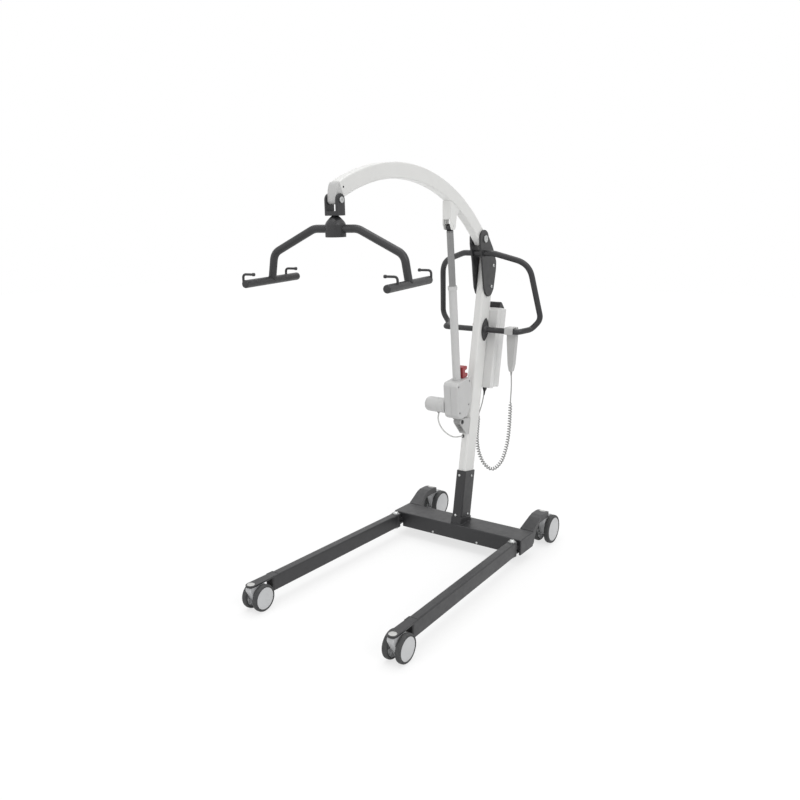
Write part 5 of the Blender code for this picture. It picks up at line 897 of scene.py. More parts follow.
# Each caster's place, swivel, underside of what carries it, diameter, wheel width, width over
# both wheels, trail, and whether it has a brake
casters = [("front_" + hand, front_swivels[hand], NOSE_LOW, 0.100, 0.022, 0.073, 0.035, False)
           for hand in ("left", "right")]
rear_swivels = {hand: Vector((side * REAR_SWIVEL.x, REAR_SWIVEL.y, 0.0)) for side, hand in SIDES}
casters += [("rear_" + hand, rear_swivels[hand], ARM_LOW, 0.125, 0.024, 0.080, 0.038, True)
            for hand in ("left", "right")]
for place, swivel, carried_at, diameter, wheel_width, width, trail, braked in casters:
    at = Matrix.Translation(swivel)
    radius = diameter / 2.0
    inner_half = width / 2.0 - wheel_width
    body_half = inner_half - 0.0010
    crown = carried_at - 0.0023
    hood = crown - radius
    body = place + "_caster"
    outline = arc((trail, radius), hood, -20.0, 90.0, 26)
    outline += [(-0.014, crown), (-0.016, crown - 0.012), (trail - radius * 0.55, radius * 0.95),
                (trail - radius * 0.30, radius * 0.62), (trail + radius * 0.45, radius * 0.55)]
    shell = prism(outline, -body_half, body_half, at @ SIDEWAYS, 0.0026, 4)
    if braked:
        # The brake's hinge lies just inside the hood's round back, 2 degrees above the axle
        hinge = arc((trail, radius), hood - 0.001, 2.0, 2.0, 1)[0]
        groove = rod_across(at, 0.03, *hinge, 0.0064)
        shell = carve(shell, [groove])
    race = turned([(0.0, crown - 0.010), (0.0138, crown - 0.010), (0.0140, crown + 0.0014),
                   (0.0132, crown + 0.0020), (0.0, crown + 0.0020)], at, 44)
    stem_ends = [at @ Vector((0.0, 0.0, z)) for z in (crown - 0.004, carried_at + 0.0045)]
    stem = rod(*stem_ends, 0.0055, 28)
    boss = rod_across(at, inner_half - 0.0002, trail, radius, 0.0105, 36, 0.0006)
    make_piece(place + "_hood", merge(shell, race, stem, boss), hood_nylon, body, [place + "_caster_body"])
    refinish(place + "_axle", bright_zinc)
    for side, hand in SIDES:
        # r is the tyre's radius, w the wheel's width, and band the tyre's inner radius
        hub_at = at @ Matrix.Translation((side * inner_half, trail, radius)) @ toward(side)
        spins = place + "_wheel_" + hand + "_body"
        r = radius
        w = wheel_width
        band = 0.885 * r
        tyre = [(band, w - 0.0016), (band + 0.0008, w - 0.0006), (r - 0.0052, w - 0.0003),
                (r - 0.0030, w - 0.0014), (r - 0.0012, w - 0.0034), (r - 0.0003, w - 0.0062),
                (r, w - 0.0095), (r, 0.0095), (r - 0.0003, 0.0062), (r - 0.0012, 0.0034),
                (r - 0.0030, 0.0014), (r - 0.0052, 0.0003), (band - 0.004, 0.0003), (band - 0.004, 0.0040),
                (band - 0.004, w - 0.0016)]
        make_piece(place + "_tyre_" + hand, turned(tyre, hub_at, 72, closed=True), tyre_rubber, spins,
                   [place + "_wheel_" + hand], 50.0)
        disc = [(0.0, w - 0.0004), (0.30 * r, w - 0.0005), (0.55 * r, w - 0.0009), (0.76 * r, w - 0.0015),
                (0.815 * r, w - 0.0018), (0.822 * r, w - 0.0026), (0.840 * r, w - 0.0026),
                (0.848 * r, w - 0.0016), (band - 0.0006, w - 0.0018), (band - 0.0002, w - 0.0030),
                (band - 0.0002, 0.0016), (0.80 * r, 0.0016), (0.74 * r, 0.0060), (0.34 * r, 0.0060),
                (0.28 * r, 0.0012), (0.0044, 0.0008), (0.0044, 0.0154), (0.0, 0.0154)]
        make_piece(place + "_hub_" + hand, turned(disc, hub_at, 72), hub_nylon, spins)
        # Eight ribs stiffen the hidden inner side of each hub
        spokes = bmesh.new()
        for spoke in range(8):
            turn = hub_at @ Matrix.Rotation(math.pi * spoke / 4.0, 4, "Z")
            rib_at = turn @ Matrix.Translation((0.54 * r, 0.0, 0.0064))
            merge(spokes, box((-0.21 * r, -0.0010, -0.0050), (0.21 * r, 0.0010, 0.0006), rib_at, 0.0003, 1))
        make_piece(place + "_hub_ribs_" + hand, spokes, hub_nylon, spins)
    if braked:
        pedal_at = at @ Matrix.Translation((0.0, *hinge))
        tilt = pedal_at @ Matrix.Rotation(math.radians(14.0), 4, "X")
        barrel = rod_across(pedal_at, body_half, 0.0, 0.0, 0.006, 36, 0.0005)
        tread = box((-body_half, 0.0, -0.0025), (body_half, 0.028, 0.0025), tilt, 0.0016, 3)
        make_piece(place + "_brake_lever", merge(barrel, tread), black_nylon, place + "_pedal",
                   [place + "_brake_pedal"])
        rows = [tilt @ Vector((0.0, 0.010 + 0.0042 * k, 0.0024)) for k in range(4)]
        face = tilt.to_3x3() @ Vector((0, 0, 1))
        ribs(place + "_brake_tread", rows, face, (1.0, 0.0, 0.0), 0.0008, body_half * 1.7, black_nylon,
             place + "_pedal")

# The mast socket: a thick steel sleeve with a foot, welded to the crossbar and leaning back
# with the mast. Bolts through its front and its side clamp the mast.
MAST_WIDTH = 0.036
MAST_DEPTH = 0.080
MAST_FOOT = -0.03188
SOCKET_TOP = 0.1865


def rounded_rectangle(half_x, half_y, corner, steps=8):
    """A rectangle's outline with round corners, about its middle."""
    points = []
    for sign_x, sign_y, start in ((1, 1, 0.0), (-1, 1, 90.0), (-1, -1, 180.0), (1, -1, 270.0)):
        centre = (sign_x * (half_x - corner), sign_y * (half_y - corner))
        points += arc(centre, corner, start, start + 90.0, steps)
    return points


seat = rounded_rectangle(MAST_WIDTH / 2.0 + FIT, MAST_DEPTH / 2.0 + FIT, 0.008)
sleeve = prism(rounded_rectangle(0.0225, 0.0445, 0.0085), MAST_FOOT - 0.020, SOCKET_TOP, MAST, 0.0011, 2)
foot = rounded_rectangle(0.0255, 0.0475, 0.0095)
foot = prism(foot, MAST_FOOT - 0.020, MAST_FOOT + 0.016, MAST, 0.0016, 3)
well = prism(seat, MAST_FOOT - 0.002, SOCKET_TOP + 0.01, MAST)
ground = box((-0.1, -0.15, 0.0), (0.1, 0.15, BAR_HIGH.z + FIT))
sleeve = carve(carve(sleeve, [foot], "UNION"), [well, ground])
make_piece("mast_sleeve", sleeve, dark_coat, "base", ["mast_socket"])
around = rounded_rectangle(0.0262, 0.0492, 0.0100)
foot_weld = []
for x, y in around + around[:1]:
    rise = (BAR_HIGH.z + 0.0006 - MAST.translation.z + y * math.sin(LEAN)) / math.cos(LEAN)
    foot_weld.append(MAST @ Vector((x, y, rise)))
weld("mast_sleeve_weld", [foot_weld], "base")
to_mast = MAST.to_3x3()
forward = to_mast @ Vector((0, -1, 0))
sleeve_bolts = [(MAST @ Vector((-0.005, -0.0445, z)), forward) for z in (0.165, -0.009)]
sleeve_bolts += [(MAST @ Vector((0.0225, y, z)), (1, 0, 0)) for y, z in ((0.013, 0.163), (0.013, -0.005))]
bolts("mast_sleeve_bolts", sleeve_bolts, 0.0056, 0.0034, bright_zinc, "base")

# The mast: an 80 x 36 mm steel tube with round corners and 3 mm walls, bored for the push
# handle's low bar. White powder coat.
MAST_TOP = 1.095
HANDLE_RADIUS = 0.012
HANDLE_TOP = Vector((0.0, -0.080, 1.106))
HANDLE_LOW = Vector((0.0, 0.006, 0.795))
white_coat = powder_coat("powder_coat_white", "#e2e2e0", "#dcdcda", 0.36, 0.50)
inside = rounded_rectangle(MAST_WIDTH / 2.0 - 0.003, MAST_DEPTH / 2.0 - 0.003, 0.005)
mast = carve(prism(rounded_rectangle(MAST_WIDTH / 2.0, MAST_DEPTH / 2.0, 0.008), MAST_FOOT, MAST_TOP, MAST),
             [prism(inside, MAST_FOOT - 0.01, MAST_TOP + 0.01, MAST)])
low_bar = rod_across(MAST, 0.04, HANDLE_LOW.y, HANDLE_LOW.z, HANDLE_RADIUS + 0.0004, 48)
make_piece("mast", ease_edges(carve(mast, [low_bar]), 0.0004, 2, 70.0), white_coat, "base", ["mast_tube"])

# The head plates: two 8 mm steel plates, cut to a long leaf shape, bolted to the mast's sides.
# They carry the boom's pivot pin in their ears and the push handle's top tube below it.
PLATE_INNER = 0.0183
PLATE_OUTER = 0.0263
plate_outline = [(PIVOT_ON_MAST.x - 0.034, PIVOT_ON_MAST.y - 0.028),
                 (HANDLE_TOP.y - 0.005, MAST_TOP - 0.028), (-0.066, MAST_TOP - 0.083),
                 (-0.048, MAST_TOP - 0.130), (-0.030, MAST_TOP - 0.151), (-0.006, MAST_TOP - 0.162),
                 (0.020, MAST_TOP - 0.152), (0.036, MAST_TOP - 0.124), (0.040, MAST_TOP - 0.041),
                 (0.036, MAST_TOP - 0.008), (-0.004, MAST_TOP + 0.042)]
plate_radii = [0.060, 0.080, 0.060, 0.030, 0.020, 0.020, 0.020, 0.020, 0.040, 0.030, 0.060]
ear = arc((PIVOT_ON_MAST.x - 0.004, PIVOT_ON_MAST.y), 0.036, 25.0, 180.0, 28)
plate_outline = rounded_outline(ear + plate_outline, [0.0] * len(ear) + plate_radii)
for side, hand in SIDES:
    faces = sorted((side * PLATE_INNER, side * PLATE_OUTER))
    holes = [rod_across(MAST, 0.05, y, z, radius, 44) for y, z, radius in
             ((*PIVOT_ON_MAST, 0.0103), (HANDLE_TOP.y, HANDLE_TOP.z, HANDLE_RADIUS + FIT))]
    plate = carve(prism(plate_outline, *faces, MAST @ SIDEWAYS, 0.0015, 3), holes)
    make_piece("head_plate_" + hand, plate, dark_coat, "base", ["mast_plate_" + hand])
plate_bolts = [(MAST @ Vector((side * PLATE_OUTER, 0.012, z)), (side, 0, 0)) for side in (-1.0, 1.0)
               for z in (1.067, 0.9785)]
bolts("head_plate_bolts", plate_bolts, 0.0068, 0.0040, bright_zinc, "base")

# The boom's pivot pin: a 20 mm steel pin through both plates, with a flat head at each end and
# a blind hexagon in each head.
pin_at = Matrix.Translation(BOOM_PIVOT) @ toward(1.0)


def headed_pin(reach, radius, head_radius, head, place, steps=44):
    """A pin about the place's Z with an eased flat head at both ends, dished in its middle."""
    half = [(0.0, reach + head - 0.0018), (0.30 * head_radius, reach + head - 0.0018),
            (0.36 * head_radius, reach + head), (head_radius - 0.0012, reach + head),
            (head_radius - 0.0003, reach + head - 0.0004), (head_radius, reach + head - 0.0012),
            (head_radius, reach), (radius, reach)]
    return turned(half + [(r, -z) for r, z in reversed(half)], place, steps)


make_piece("boom_pin", headed_pin(PLATE_OUTER + FIT, 0.010, 0.015, 0.005, pin_at), bright_zinc, "base",
           ["boom_pivot_pin"])

# The push handle: one closed loop of 24 mm steel tube. Its top runs through the head plates and
# its low bar through the mast, with a leaf-shaped flange welded on at each side of the mast.
HANDLE_HALF = 0.238


def mirrored(half, steps):
    """A bent path through one half's corners and their mirror images, each with its bend radius."""
    whole = half + [((-x, y, z), radius) for (x, y, z), radius in reversed(half)]
    corners, radii = zip(*whole)
    return rounded_path(corners, radii, steps)


# Each corner of the loop's right half, with the radius of its bend
half_loop = [((0.070, HANDLE_TOP.y, HANDLE_TOP.z), 0.060),
             ((HANDLE_HALF - 0.0326, HANDLE_TOP.y + 0.061, HANDLE_TOP.z - 0.0315), 0.0914),
             ((HANDLE_HALF, HANDLE_LOW.y + 0.073, HANDLE_LOW.z + 0.0616), 0.0469),
             ((HANDLE_HALF - 0.0375, HANDLE_LOW.y + 0.0713, HANDLE_LOW.z + 0.0177), 0.029),
             ((HANDLE_HALF - 0.062, HANDLE_LOW.y, HANDLE_LOW.z), 0.022)]
handle = tube_along([MAST @ point for point in mirrored(half_loop, 10)], HANDLE_RADIUS, 28, closed=True)
# The leaf is bounded by two equal arcs that meet in a point above and below
LEAF_TALL = 0.098
LEAF_WIDE = 0.056
leaf_radius = (LEAF_TALL ** 2 + LEAF_WIDE ** 2) / (4.0 * LEAF_WIDE)
leaf_angle = math.degrees(math.asin(LEAF_TALL / 2.0 / leaf_radius))
ahead = (HANDLE_LOW.y + LEAF_WIDE / 2.0 - leaf_radius, HANDLE_LOW.z)
behind = (HANDLE_LOW.y + leaf_radius - LEAF_WIDE / 2.0, HANDLE_LOW.z)
leaf = arc(ahead, leaf_radius, -leaf_angle, leaf_angle, 22)
leaf += arc(behind, leaf_radius, 180.0 - leaf_angle, 180.0 + leaf_angle, 22)[1:-1]
flare = [(0.0, 0.0), (0.0210, 0.0), (0.0210, 0.0045), (0.0185, 0.0060), (0.0155, 0.0085), (0.0135, 0.0125),
         (0.0124, 0.0175), (0.0, 0.0175)]
for side in (-1.0, 1.0):
    faces = sorted((side * PLATE_INNER, side * (PLATE_INNER + 0.005)))
    flange = prism(leaf, *faces, MAST @ SIDEWAYS, 0.0012, 3)
    root = MAST @ Matrix.Translation((side * PLATE_INNER, HANDLE_LOW.y, HANDLE_LOW.z))
    handle = merge(handle, flange, turned(flare, root @ toward(side), 44))
make_piece("push_handle_loop", handle, dark_coat, "base", ["push_handle"])
handle_welds = []
for side in (-1.0, 1.0):
    ring = arc((HANDLE_TOP.y, HANDLE_TOP.z), HANDLE_RADIUS + 0.0008, 0.0, 360.0, 40)
    handle_welds.append([MAST @ Vector((side * (PLATE_OUTER + 0.0006), y, z)) for y, z in ring])
weld("push_handle_welds", handle_welds, "base", 0.0018)

# The boom: a 55 x 36 mm steel tube bent to a long arc behind its highest point and a tighter
# one in front of it, and bored for its pin. White powder coat.
BOOM = Matrix.Translation(BOOM_PIVOT)
HALF_DEPTH = 0.0275
CREST_REACH = 0.587
CREST_RISE = 0.240
REAR_RADIUS = (CREST_REACH ** 2 + CREST_RISE ** 2) / (2.0 * CREST_RISE)
REAR_CENTRE = (-CREST_REACH, CREST_RISE - REAR_RADIUS)
FRONT_RADIUS = 0.822
FRONT_CENTRE = (-CREST_REACH, CREST_RISE - FRONT_RADIUS)
PIVOT_ANGLE = math.degrees(math.atan2(-REAR_CENTRE[1], -REAR_CENTRE[0]))
TIP_ANGLE = 115.0
boom_outline = arc(REAR_CENTRE, REAR_RADIUS + HALF_DEPTH, PIVOT_ANGLE, 90.0, 44)
boom_outline += arc(FRONT_CENTRE, FRONT_RADIUS + HALF_DEPTH, 90.0, TIP_ANGLE, 28)[1:]
boom_outline += arc(FRONT_CENTRE, FRONT_RADIUS - HALF_DEPTH, TIP_ANGLE, 90.0, 28)
boom_outline += arc(REAR_CENTRE, REAR_RADIUS - HALF_DEPTH, 90.0, PIVOT_ANGLE, 44)[1:]
boom_outline += arc((0.0, 0.0), HALF_DEPTH, PIVOT_ANGLE - 180.0, PIVOT_ANGLE, 30)[1:-1]
boom = prism(boom_outline, -MAST_WIDTH / 2.0, MAST_WIDTH / 2.0, BOOM @ SIDEWAYS, 0.006, 5)
boom = carve(boom, [rod_across(BOOM, 0.04, 0.0, 0.0, 0.0104, 44)])
make_piece("boom_arm", boom, white_coat, "boom", ["boom_tube"])

# The boom's nose: an end plate welded over the tube's front, whose lower end is the lug that the
# hanger's clevis hangs on. Its coat is white like the boom's; it is coloured pale grey as painted
# shade, for its front face that is darker only by how light falls. A small dark screw holds it from the
# side.
boom_end = Vector((FRONT_CENTRE[0] + FRONT_RADIUS * math.cos(math.radians(TIP_ANGLE)),
                   FRONT_CENTRE[1] + FRONT_RADIUS * math.sin(math.radians(TIP_ANGLE))))
lug = boom_end + Vector((-0.0136, -0.0316))
LUG_RADIUS = 0.0135
ahead = Vector((math.cos(math.radians(TIP_ANGLE + 90.0)), math.sin(math.radians(TIP_ANGLE + 90.0))))
upward = Vector((-ahead.y, ahead.x)) * -1.0
face_top = boom_end + ahead * FIT + upward * (HALF_DEPTH - 0.001)
face_low = boom_end + ahead * FIT - upward * (HALF_DEPTH - 0.004)
lug_front = lug + Vector((-LUG_RADIUS, 0.0))
brow = face_top + ahead * ((lug_front.x - face_top.x) / ahead.x)
# The plate's front is one curve from the tube's top edge to the lug, drawn toward the brow
nose = []
for step in range(14):
    t = step / 14.0
    nose.append(tuple(face_top.lerp(brow, t).lerp(brow.lerp(lug_front, t), t)))
nose += arc(lug, LUG_RADIUS, 180.0, 395.0, 34) + [tuple(face_low)]
nose = prism(nose, -MAST_WIDTH / 2.0, MAST_WIDTH / 2.0, BOOM @ SIDEWAYS, 0.0015, 3)
nose = carve(nose, [rod_across(BOOM, 0.04, *lug, 0.0059, 36)])
# Pale grey painted shade in place of the nose's white coat
nose_painted_shade_coat = powder_coat("powder_coat_nose_painted_shade", "#c4c4c3", "#bcbcbb", 0.40, 0.45)
make_piece("boom_nose_lug", nose, nose_painted_shade_coat, "boom", ["boom_nose"])
screw_at = BOOM @ Vector((0.018, *(boom_end - ahead * 0.012 + upward * 0.004)))
soft_steel = zinc_plate("blackened_steel", "#4a4a4b", "#3b3b3c")
far_screw_at = Vector((-screw_at.x, screw_at.y, screw_at.z))
bolts("boom_nose_screw", [(screw_at, (1, 0, 0)), (far_screw_at, (-1, 0, 0))], 0.0030, 0.0018, soft_steel,
      "boom")

# The boom bracket: a channel of 3.5 mm steel welded under the boom, with a boss on each side
# for the actuator's eye. Coated white with the boom.
front = eye.x - 0.0255
back = eye.x + 0.0415
shape = [(front, eye.y + 0.130), (front, eye.y + 0.012), (eye.x - 0.015, eye.y - 0.0095),
         (eye.x + 0.009, eye.y - 0.0095), (eye.x + 0.0155, eye.y), (eye.x + 0.0215, eye.y + 0.046),
         (back, eye.y + 0.066), (back, eye.y + 0.130)]
shape = rounded_outline(shape, [0.0, 0.004, 0.010, 0.008, 0.020, 0.030, 0.020, 0.0])
bracket = prism(shape, -0.018, 0.018, BOOM @ SIDEWAYS)
web_back = front + 0.0035
channel = [(web_back, 1.0), (web_back, eye.y + 0.030), (front - 0.02, eye.y + 0.030), (front - 0.02, -0.1),
           (back + 0.02, -0.1), (back + 0.02, 1.0)]
channel = prism(channel, -0.0145, 0.0145, BOOM @ SIDEWAYS)
above = arc(REAR_CENTRE, REAR_RADIUS - HALF_DEPTH - FIT, PIVOT_ANGLE, 90.0, 44)
above = prism(above + [(-CREST_REACH, 0.440), (0.1, 0.440)], -0.05, 0.05, BOOM @ SIDEWAYS)
bracket = ease_edges(carve(bracket, [channel, above]), 0.0008, 2, 50.0)
for side in (-1.0, 1.0):
    boss = [(0.0, 0.0103), (0.0080, 0.0103), (0.0080, 0.0205), (0.0074, 0.0216), (0.0066, 0.0220),
            (0.0, 0.0220)]
    boss_at = BOOM @ Matrix.Translation((0.0, *eye)) @ toward(side)
    bracket = merge(bracket, turned(boss, boss_at, 40))
make_piece("boom_bracket", bracket, white_coat, "boom", ["boom_actuator_bracket"])
seam = []
for side in (-1.0, 1.0):
    along = []
    for step in range(20):
        y = front + 0.003 + (back - front - 0.006) * step / 19.0
        rise = math.sqrt((REAR_RADIUS - HALF_DEPTH) ** 2 - (y - REAR_CENTRE[0]) ** 2) + REAR_CENTRE[1]
        along.append(BOOM @ Vector((side * 0.0166, y, rise - 0.0010)))
    seam.append(along)
weld("boom_bracket_welds", seam, "boom", 0.0016, white_coat)

# The hanger's clevis: two 8 mm steel ears over a base plate, hung on the boom's lug by a headed
# pin, with the swivel stem below. Dark powder coat; the pin is zinc plated.
HANGER_PIN = BOOM @ Vector((0.0, *lug))
HANGER_LEAN = math.radians(2.0)
HANGER_TURN = math.radians(7.2)
CLEVIS = Matrix.Translation(HANGER_PIN) @ Matrix.Rotation(HANGER_LEAN, 4, "X")
EAR_IN = 0.0183
EAR_OUT = 0.0263
HUB_TOP = -0.0483
ARM_Z = HUB_TOP - 0.040
ARM_RADIUS = 0.013
ear = arc((0.0, 0.0), 0.020, 0.0, 180.0, 30) + [(-0.020, -0.048), (0.020, -0.048)]
clevis = prism(ear, -EAR_OUT, EAR_OUT, CLEVIS @ SIDEWAYS, 0.0020, 3)
tools = [box((-EAR_IN, -0.05, -0.034), (EAR_IN, 0.05, 0.05), CLEVIS),
         rod_across(CLEVIS, 0.05, 0.0, 0.0, 0.0058, 36)]
stem = rod(CLEVIS @ Vector((0, 0, -0.036)), CLEVIS @ Vector((0, 0, ARM_Z + ARM_RADIUS + 0.002)), 0.008, 36)
clevis = merge(ease_edges(carve(clevis, tools), 0.0005, 2, 70.0), stem)
make_piece("hanger_clevis_fork", clevis, dark_coat, "hanger_clevis", ["swivel_clevis"])
clevis_pin = headed_pin(EAR_OUT + FIT, 0.0055, 0.010, 0.004, CLEVIS @ toward(1.0))
make_piece("hanger_pin", clevis_pin, bright_zinc, "hanger_clevis", ["clevis_pin"])

# The hub: a turned steel boss with a shoulder, bored from above for the clevis's stem, on which
# it spins. The sling arm runs through its cross hole and is welded there. Dark powder coat.
HANGER = CLEVIS @ Matrix.Rotation(HANGER_TURN, 4, "Z")
hub = [(0.0, HUB_TOP), (0.0112, HUB_TOP), (0.0120, HUB_TOP - 0.0008), (0.0180, HUB_TOP - 0.0062),
       (0.0235, HUB_TOP - 0.0118), (0.0275, HUB_TOP - 0.0165), (0.0303, HUB_TOP - 0.0208),
       (0.0320, HUB_TOP - 0.0240), (0.0330, HUB_TOP - 0.0268), (0.0333, HUB_TOP - 0.0300),
       (0.0333, HUB_TOP - 0.0646), (0.0329, HUB_TOP - 0.0656), (0.0320, HUB_TOP - 0.0660),
       (0.0, HUB_TOP - 0.0660)]
stem_ends = [HANGER @ Vector((0, 0, z)) for z in (HUB_TOP + 0.01, ARM_Z + ARM_RADIUS + 0.0017)]
cross_hole = rod_across(HANGER, 0.05, 0.0, ARM_Z, ARM_RADIUS + FIT, 48)
hub = carve(turned(hub, HANGER, 64), [rod(*stem_ends, 0.0084, 36), cross_hole])
make_piece("hanger_hub", hub, dark_coat, "hanger", ["swivel_hub"])

# The sling arm: one bent 26 mm steel tube, saddle-cut at both ends on the cross bars and welded
# there and at the hub.
BAR_OUT = 0.257
BAR_Z = ARM_Z - 0.1675
ELBOW_OUT = 0.242
ELBOW_Z = ARM_Z - 0.079
half_arm = [((BAR_OUT, 0.0, BAR_Z), 0.0), ((ELBOW_OUT, 0.0, ELBOW_Z), 0.045), ((0.081, 0.0, ARM_Z), 0.060)]
arm = tube_along([HANGER @ point for point in mirrored(half_arm, 12)], ARM_RADIUS, 32)
tools = []
arm_welds = []
for side in (-1.0, 1.0):
    out = side * BAR_OUT
    bar_ends = [HANGER @ Vector((out, y, BAR_Z)) for y in (-0.05, 0.05)]
    tools.append(rod(*bar_ends, ARM_RADIUS + FIT, 48))
    tools.append(box((out - 0.03, -0.03, BAR_Z - 0.03), (out + 0.03, 0.03, BAR_Z + 0.002), HANGER))
    rise = (Vector((side * ELBOW_OUT, 0.0, ELBOW_Z)) - Vector((out, 0.0, BAR_Z))).normalized()
    outward = Vector((rise.z, 0.0, -rise.x))
    saddle = []
    collar = []
    for step in range(41):
        angle = 2.0 * math.pi * step / 40.0
        across = ARM_RADIUS * math.cos(angle)
        lift = math.sqrt(ARM_RADIUS ** 2 - across ** 2 * 0.98)
        saddle.append(HANGER @ (Vector((out, ARM_RADIUS * math.sin(angle), BAR_Z))
                                + outward * across * 1.02 + rise * (lift + 0.0006)))
        y = (ARM_RADIUS + 0.0006) * math.cos(angle)
        collar.append(HANGER @ Vector((side * math.sqrt(0.0336 ** 2 - y * y), y,
                                       ARM_Z + (ARM_RADIUS + 0.0006) * math.sin(angle))))
    arm_welds += [saddle, collar]
make_piece("sling_arm_tube", carve(arm, tools), dark_coat, "hanger", ["sling_arm"])
weld("sling_arm_welds", arm_welds, "hanger", 0.0016)

# The cross bars: 26 mm bars with eased ends, each with two bent 8 mm hooks that hold a sling's
# straps, and a rounded stop on each hook's end. The right bar is the left one turned about.
for hand, turn in (("left", Matrix.Identity(4)), ("right", Matrix.Rotation(math.pi, 4, "Z"))):
    at = HANGER @ turn
    bar = [(0.0, 0.148), (0.0092, 0.148), (0.0112, 0.1474), (0.0125, 0.1458), (0.013, 0.1438)]
    bar_at = at @ Matrix.Translation((-BAR_OUT, 0.0, BAR_Z)) @ Matrix.Rotation(math.pi / 2.0, 4, "X")
    bar = turned(bar + [(radius, -z) for radius, z in reversed(bar)], bar_at, 48)
    for y in (-0.143, 0.092):
        root = -BAR_OUT - 0.008
        corners = [(root, y, BAR_Z + 0.002), (root, y, BAR_Z + 0.031), (root + 0.043, y, BAR_Z + 0.031)]
        hook = rounded_path(corners, [0.0, 0.012, 0.0], 10)
        stop = [(0.0, 0.037), (0.0038, 0.037), (0.0050, 0.0378), (0.0055, 0.0392), (0.0055, 0.0438),
                (0.0050, 0.0452), (0.0038, 0.0460), (0.0, 0.0460)]
        stop_at = at @ Matrix.Translation((root, y, BAR_Z + 0.031)) @ toward(1.0)
        bar = merge(bar, tube_along([at @ point for point in hook], 0.004, 18), turned(stop, stop_at, 28))
    make_piece("cross_bar_rod_" + hand, bar, dark_coat, "hanger", ["cross_bar_" + hand])

# The actuator's mast bracket: a forked steel bracket with a sloping foot, welded to the mast's
# front and powder coated light grey. The whole actuator swings on the black pin in its cheeks.
cheek_face = -MAST_DEPTH / 2.0 - FIT
cheek = [(cheek_face, PIN_ON_MAST[1] + 0.016), (cheek_face, PIN_ON_MAST[1] - 0.053),
         (cheek_face - 0.018, PIN_ON_MAST[1] - 0.053)] + arc(PIN_ON_MAST, 0.013, 230.0, 80.0, 26)
fork = prism(cheek, -0.0173, 0.0173, MAST @ SIDEWAYS, 0.0010, 2)
gap = box((-0.0123, -0.3, PIN_ON_MAST[1] - 0.2), (0.0123, cheek_face - 0.004, PIN_ON_MAST[1] + 0.1), MAST)
tools = [gap, rod_across(MAST, 0.05, *PIN_ON_MAST, 0.0063, 36)]
grey_coat = powder_coat("powder_coat_light_grey", "#bdbdbc", "#b5b5b4", 0.40, 0.45)
make_piece("actuator_fork", ease_edges(carve(fork, tools), 0.0004, 2, 60.0), grey_coat, "base",
           ["actuator_mast_bracket"])
sides = [[MAST @ Vector((side * 0.0172, cheek_face, PIN_ON_MAST[1] + z)) for z in (0.015, -0.052)]
         for side in (-1.0, 1.0)]
weld("actuator_fork_welds", sides, "base", 0.0014, grey_coat)
pin_low = headed_pin(0.0176, 0.006, 0.009, 0.003, Matrix.Translation(ACTUATOR_PIN) @ toward(1.0), 36)
make_piece("actuator_pin_low", pin_low, soft_steel, "base", ["actuator_lower_pin"])

# The lift actuator's gearbox: two moulded shells screwed together round the gears, with a
# lug below that turns on the fork's pin, coloured a darker grey than the shells.
GEARBOX_TOP = 0.182
GEARBOX_HALF = 0.034
darker_lug_grey = moulded_plastic("lug_darker_grey", "#9b9b9a", "#939392", 0.50, 0.40)
actuator_abs = moulded_plastic("moulded_abs_actuator_grey", "#c6c6c5", "#bebebe", 0.44, 0.35)
shell = [(-0.050, 0.036), (-0.034, 0.024), (0.014, 0.024), (0.053, 0.064), (0.059, 0.079),
         (0.059, GEARBOX_TOP), (-0.044, GEARBOX_TOP), (-0.054, GEARBOX_TOP - 0.012), (-0.054, 0.044)]
shell = rounded_outline(shell, [0.012, 0.014, 0.016, 0.020, 0.020, 0.006, 0.012, 0.012, 0.010])
gearbox = prism(shell, -GEARBOX_HALF, GEARBOX_HALF, ACTUATOR @ SIDEWAYS, 0.0045, 4)
middle = Vector((0.0025, 0.103))
smaller = [tuple(middle + (Vector(point) - middle) * 0.985) for point in shell]
larger = [tuple(middle + (Vector(point) - middle) * 1.05) for point in shell]
seam = carve(prism(larger, -0.0005, 0.0005, ACTUATOR @ SIDEWAYS),
             [prism(smaller, -0.0020, 0.0020, ACTUATOR @ SIDEWAYS)])
recesses = []
screws = []
for y, z in ((0.0326, 0.0700), (-0.042, 0.054), (-0.042, 0.166), (0.047, 0.168)):
    seat = ACTUATOR @ Vector((GEARBOX_HALF - 0.0035, y, z))
    recesses.append(rod(seat, ACTUATOR @ Vector((0.05, y, z)), 0.0046, 28))
    screws.append((seat, (1.0, 0.0, 0.0)))
make_piece("actuator_gear_shells", carve(gearbox, [seam, *recesses]), actuator_abs, "lift_actuator",
           ["actuator_gearbox"])
bolts("gear_shell_screws", screws, 0.0038, 0.0024, soft_steel, "lift_actuator")
lug_ring = [(0.0, -0.012), (0.0120, -0.012), (0.013, -0.011), (0.013, 0.011), (0.0120, 0.012), (0.0, 0.012)]
lug_ring = turned(lug_ring, ACTUATOR @ toward(1.0), 44)
neck = box((-0.011, -0.011, 0.0), (0.011, 0.011, 0.030), ACTUATOR, 0.0010, 2)
collar = box((-0.0125, -0.026, 0.0165), (0.0125, 0.020, 0.0255), ACTUATOR, 0.0030, 3)
lug_piece = carve(merge(carve(lug_ring, [neck], "UNION"), collar),
                  [rod_across(ACTUATOR, 0.05, 0.0, 0.0, 0.0064, 36)])
# The lug is coloured a darker grey than the gearbox's shells
make_piece("actuator_lug", lug_piece, darker_lug_grey, "lift_actuator")

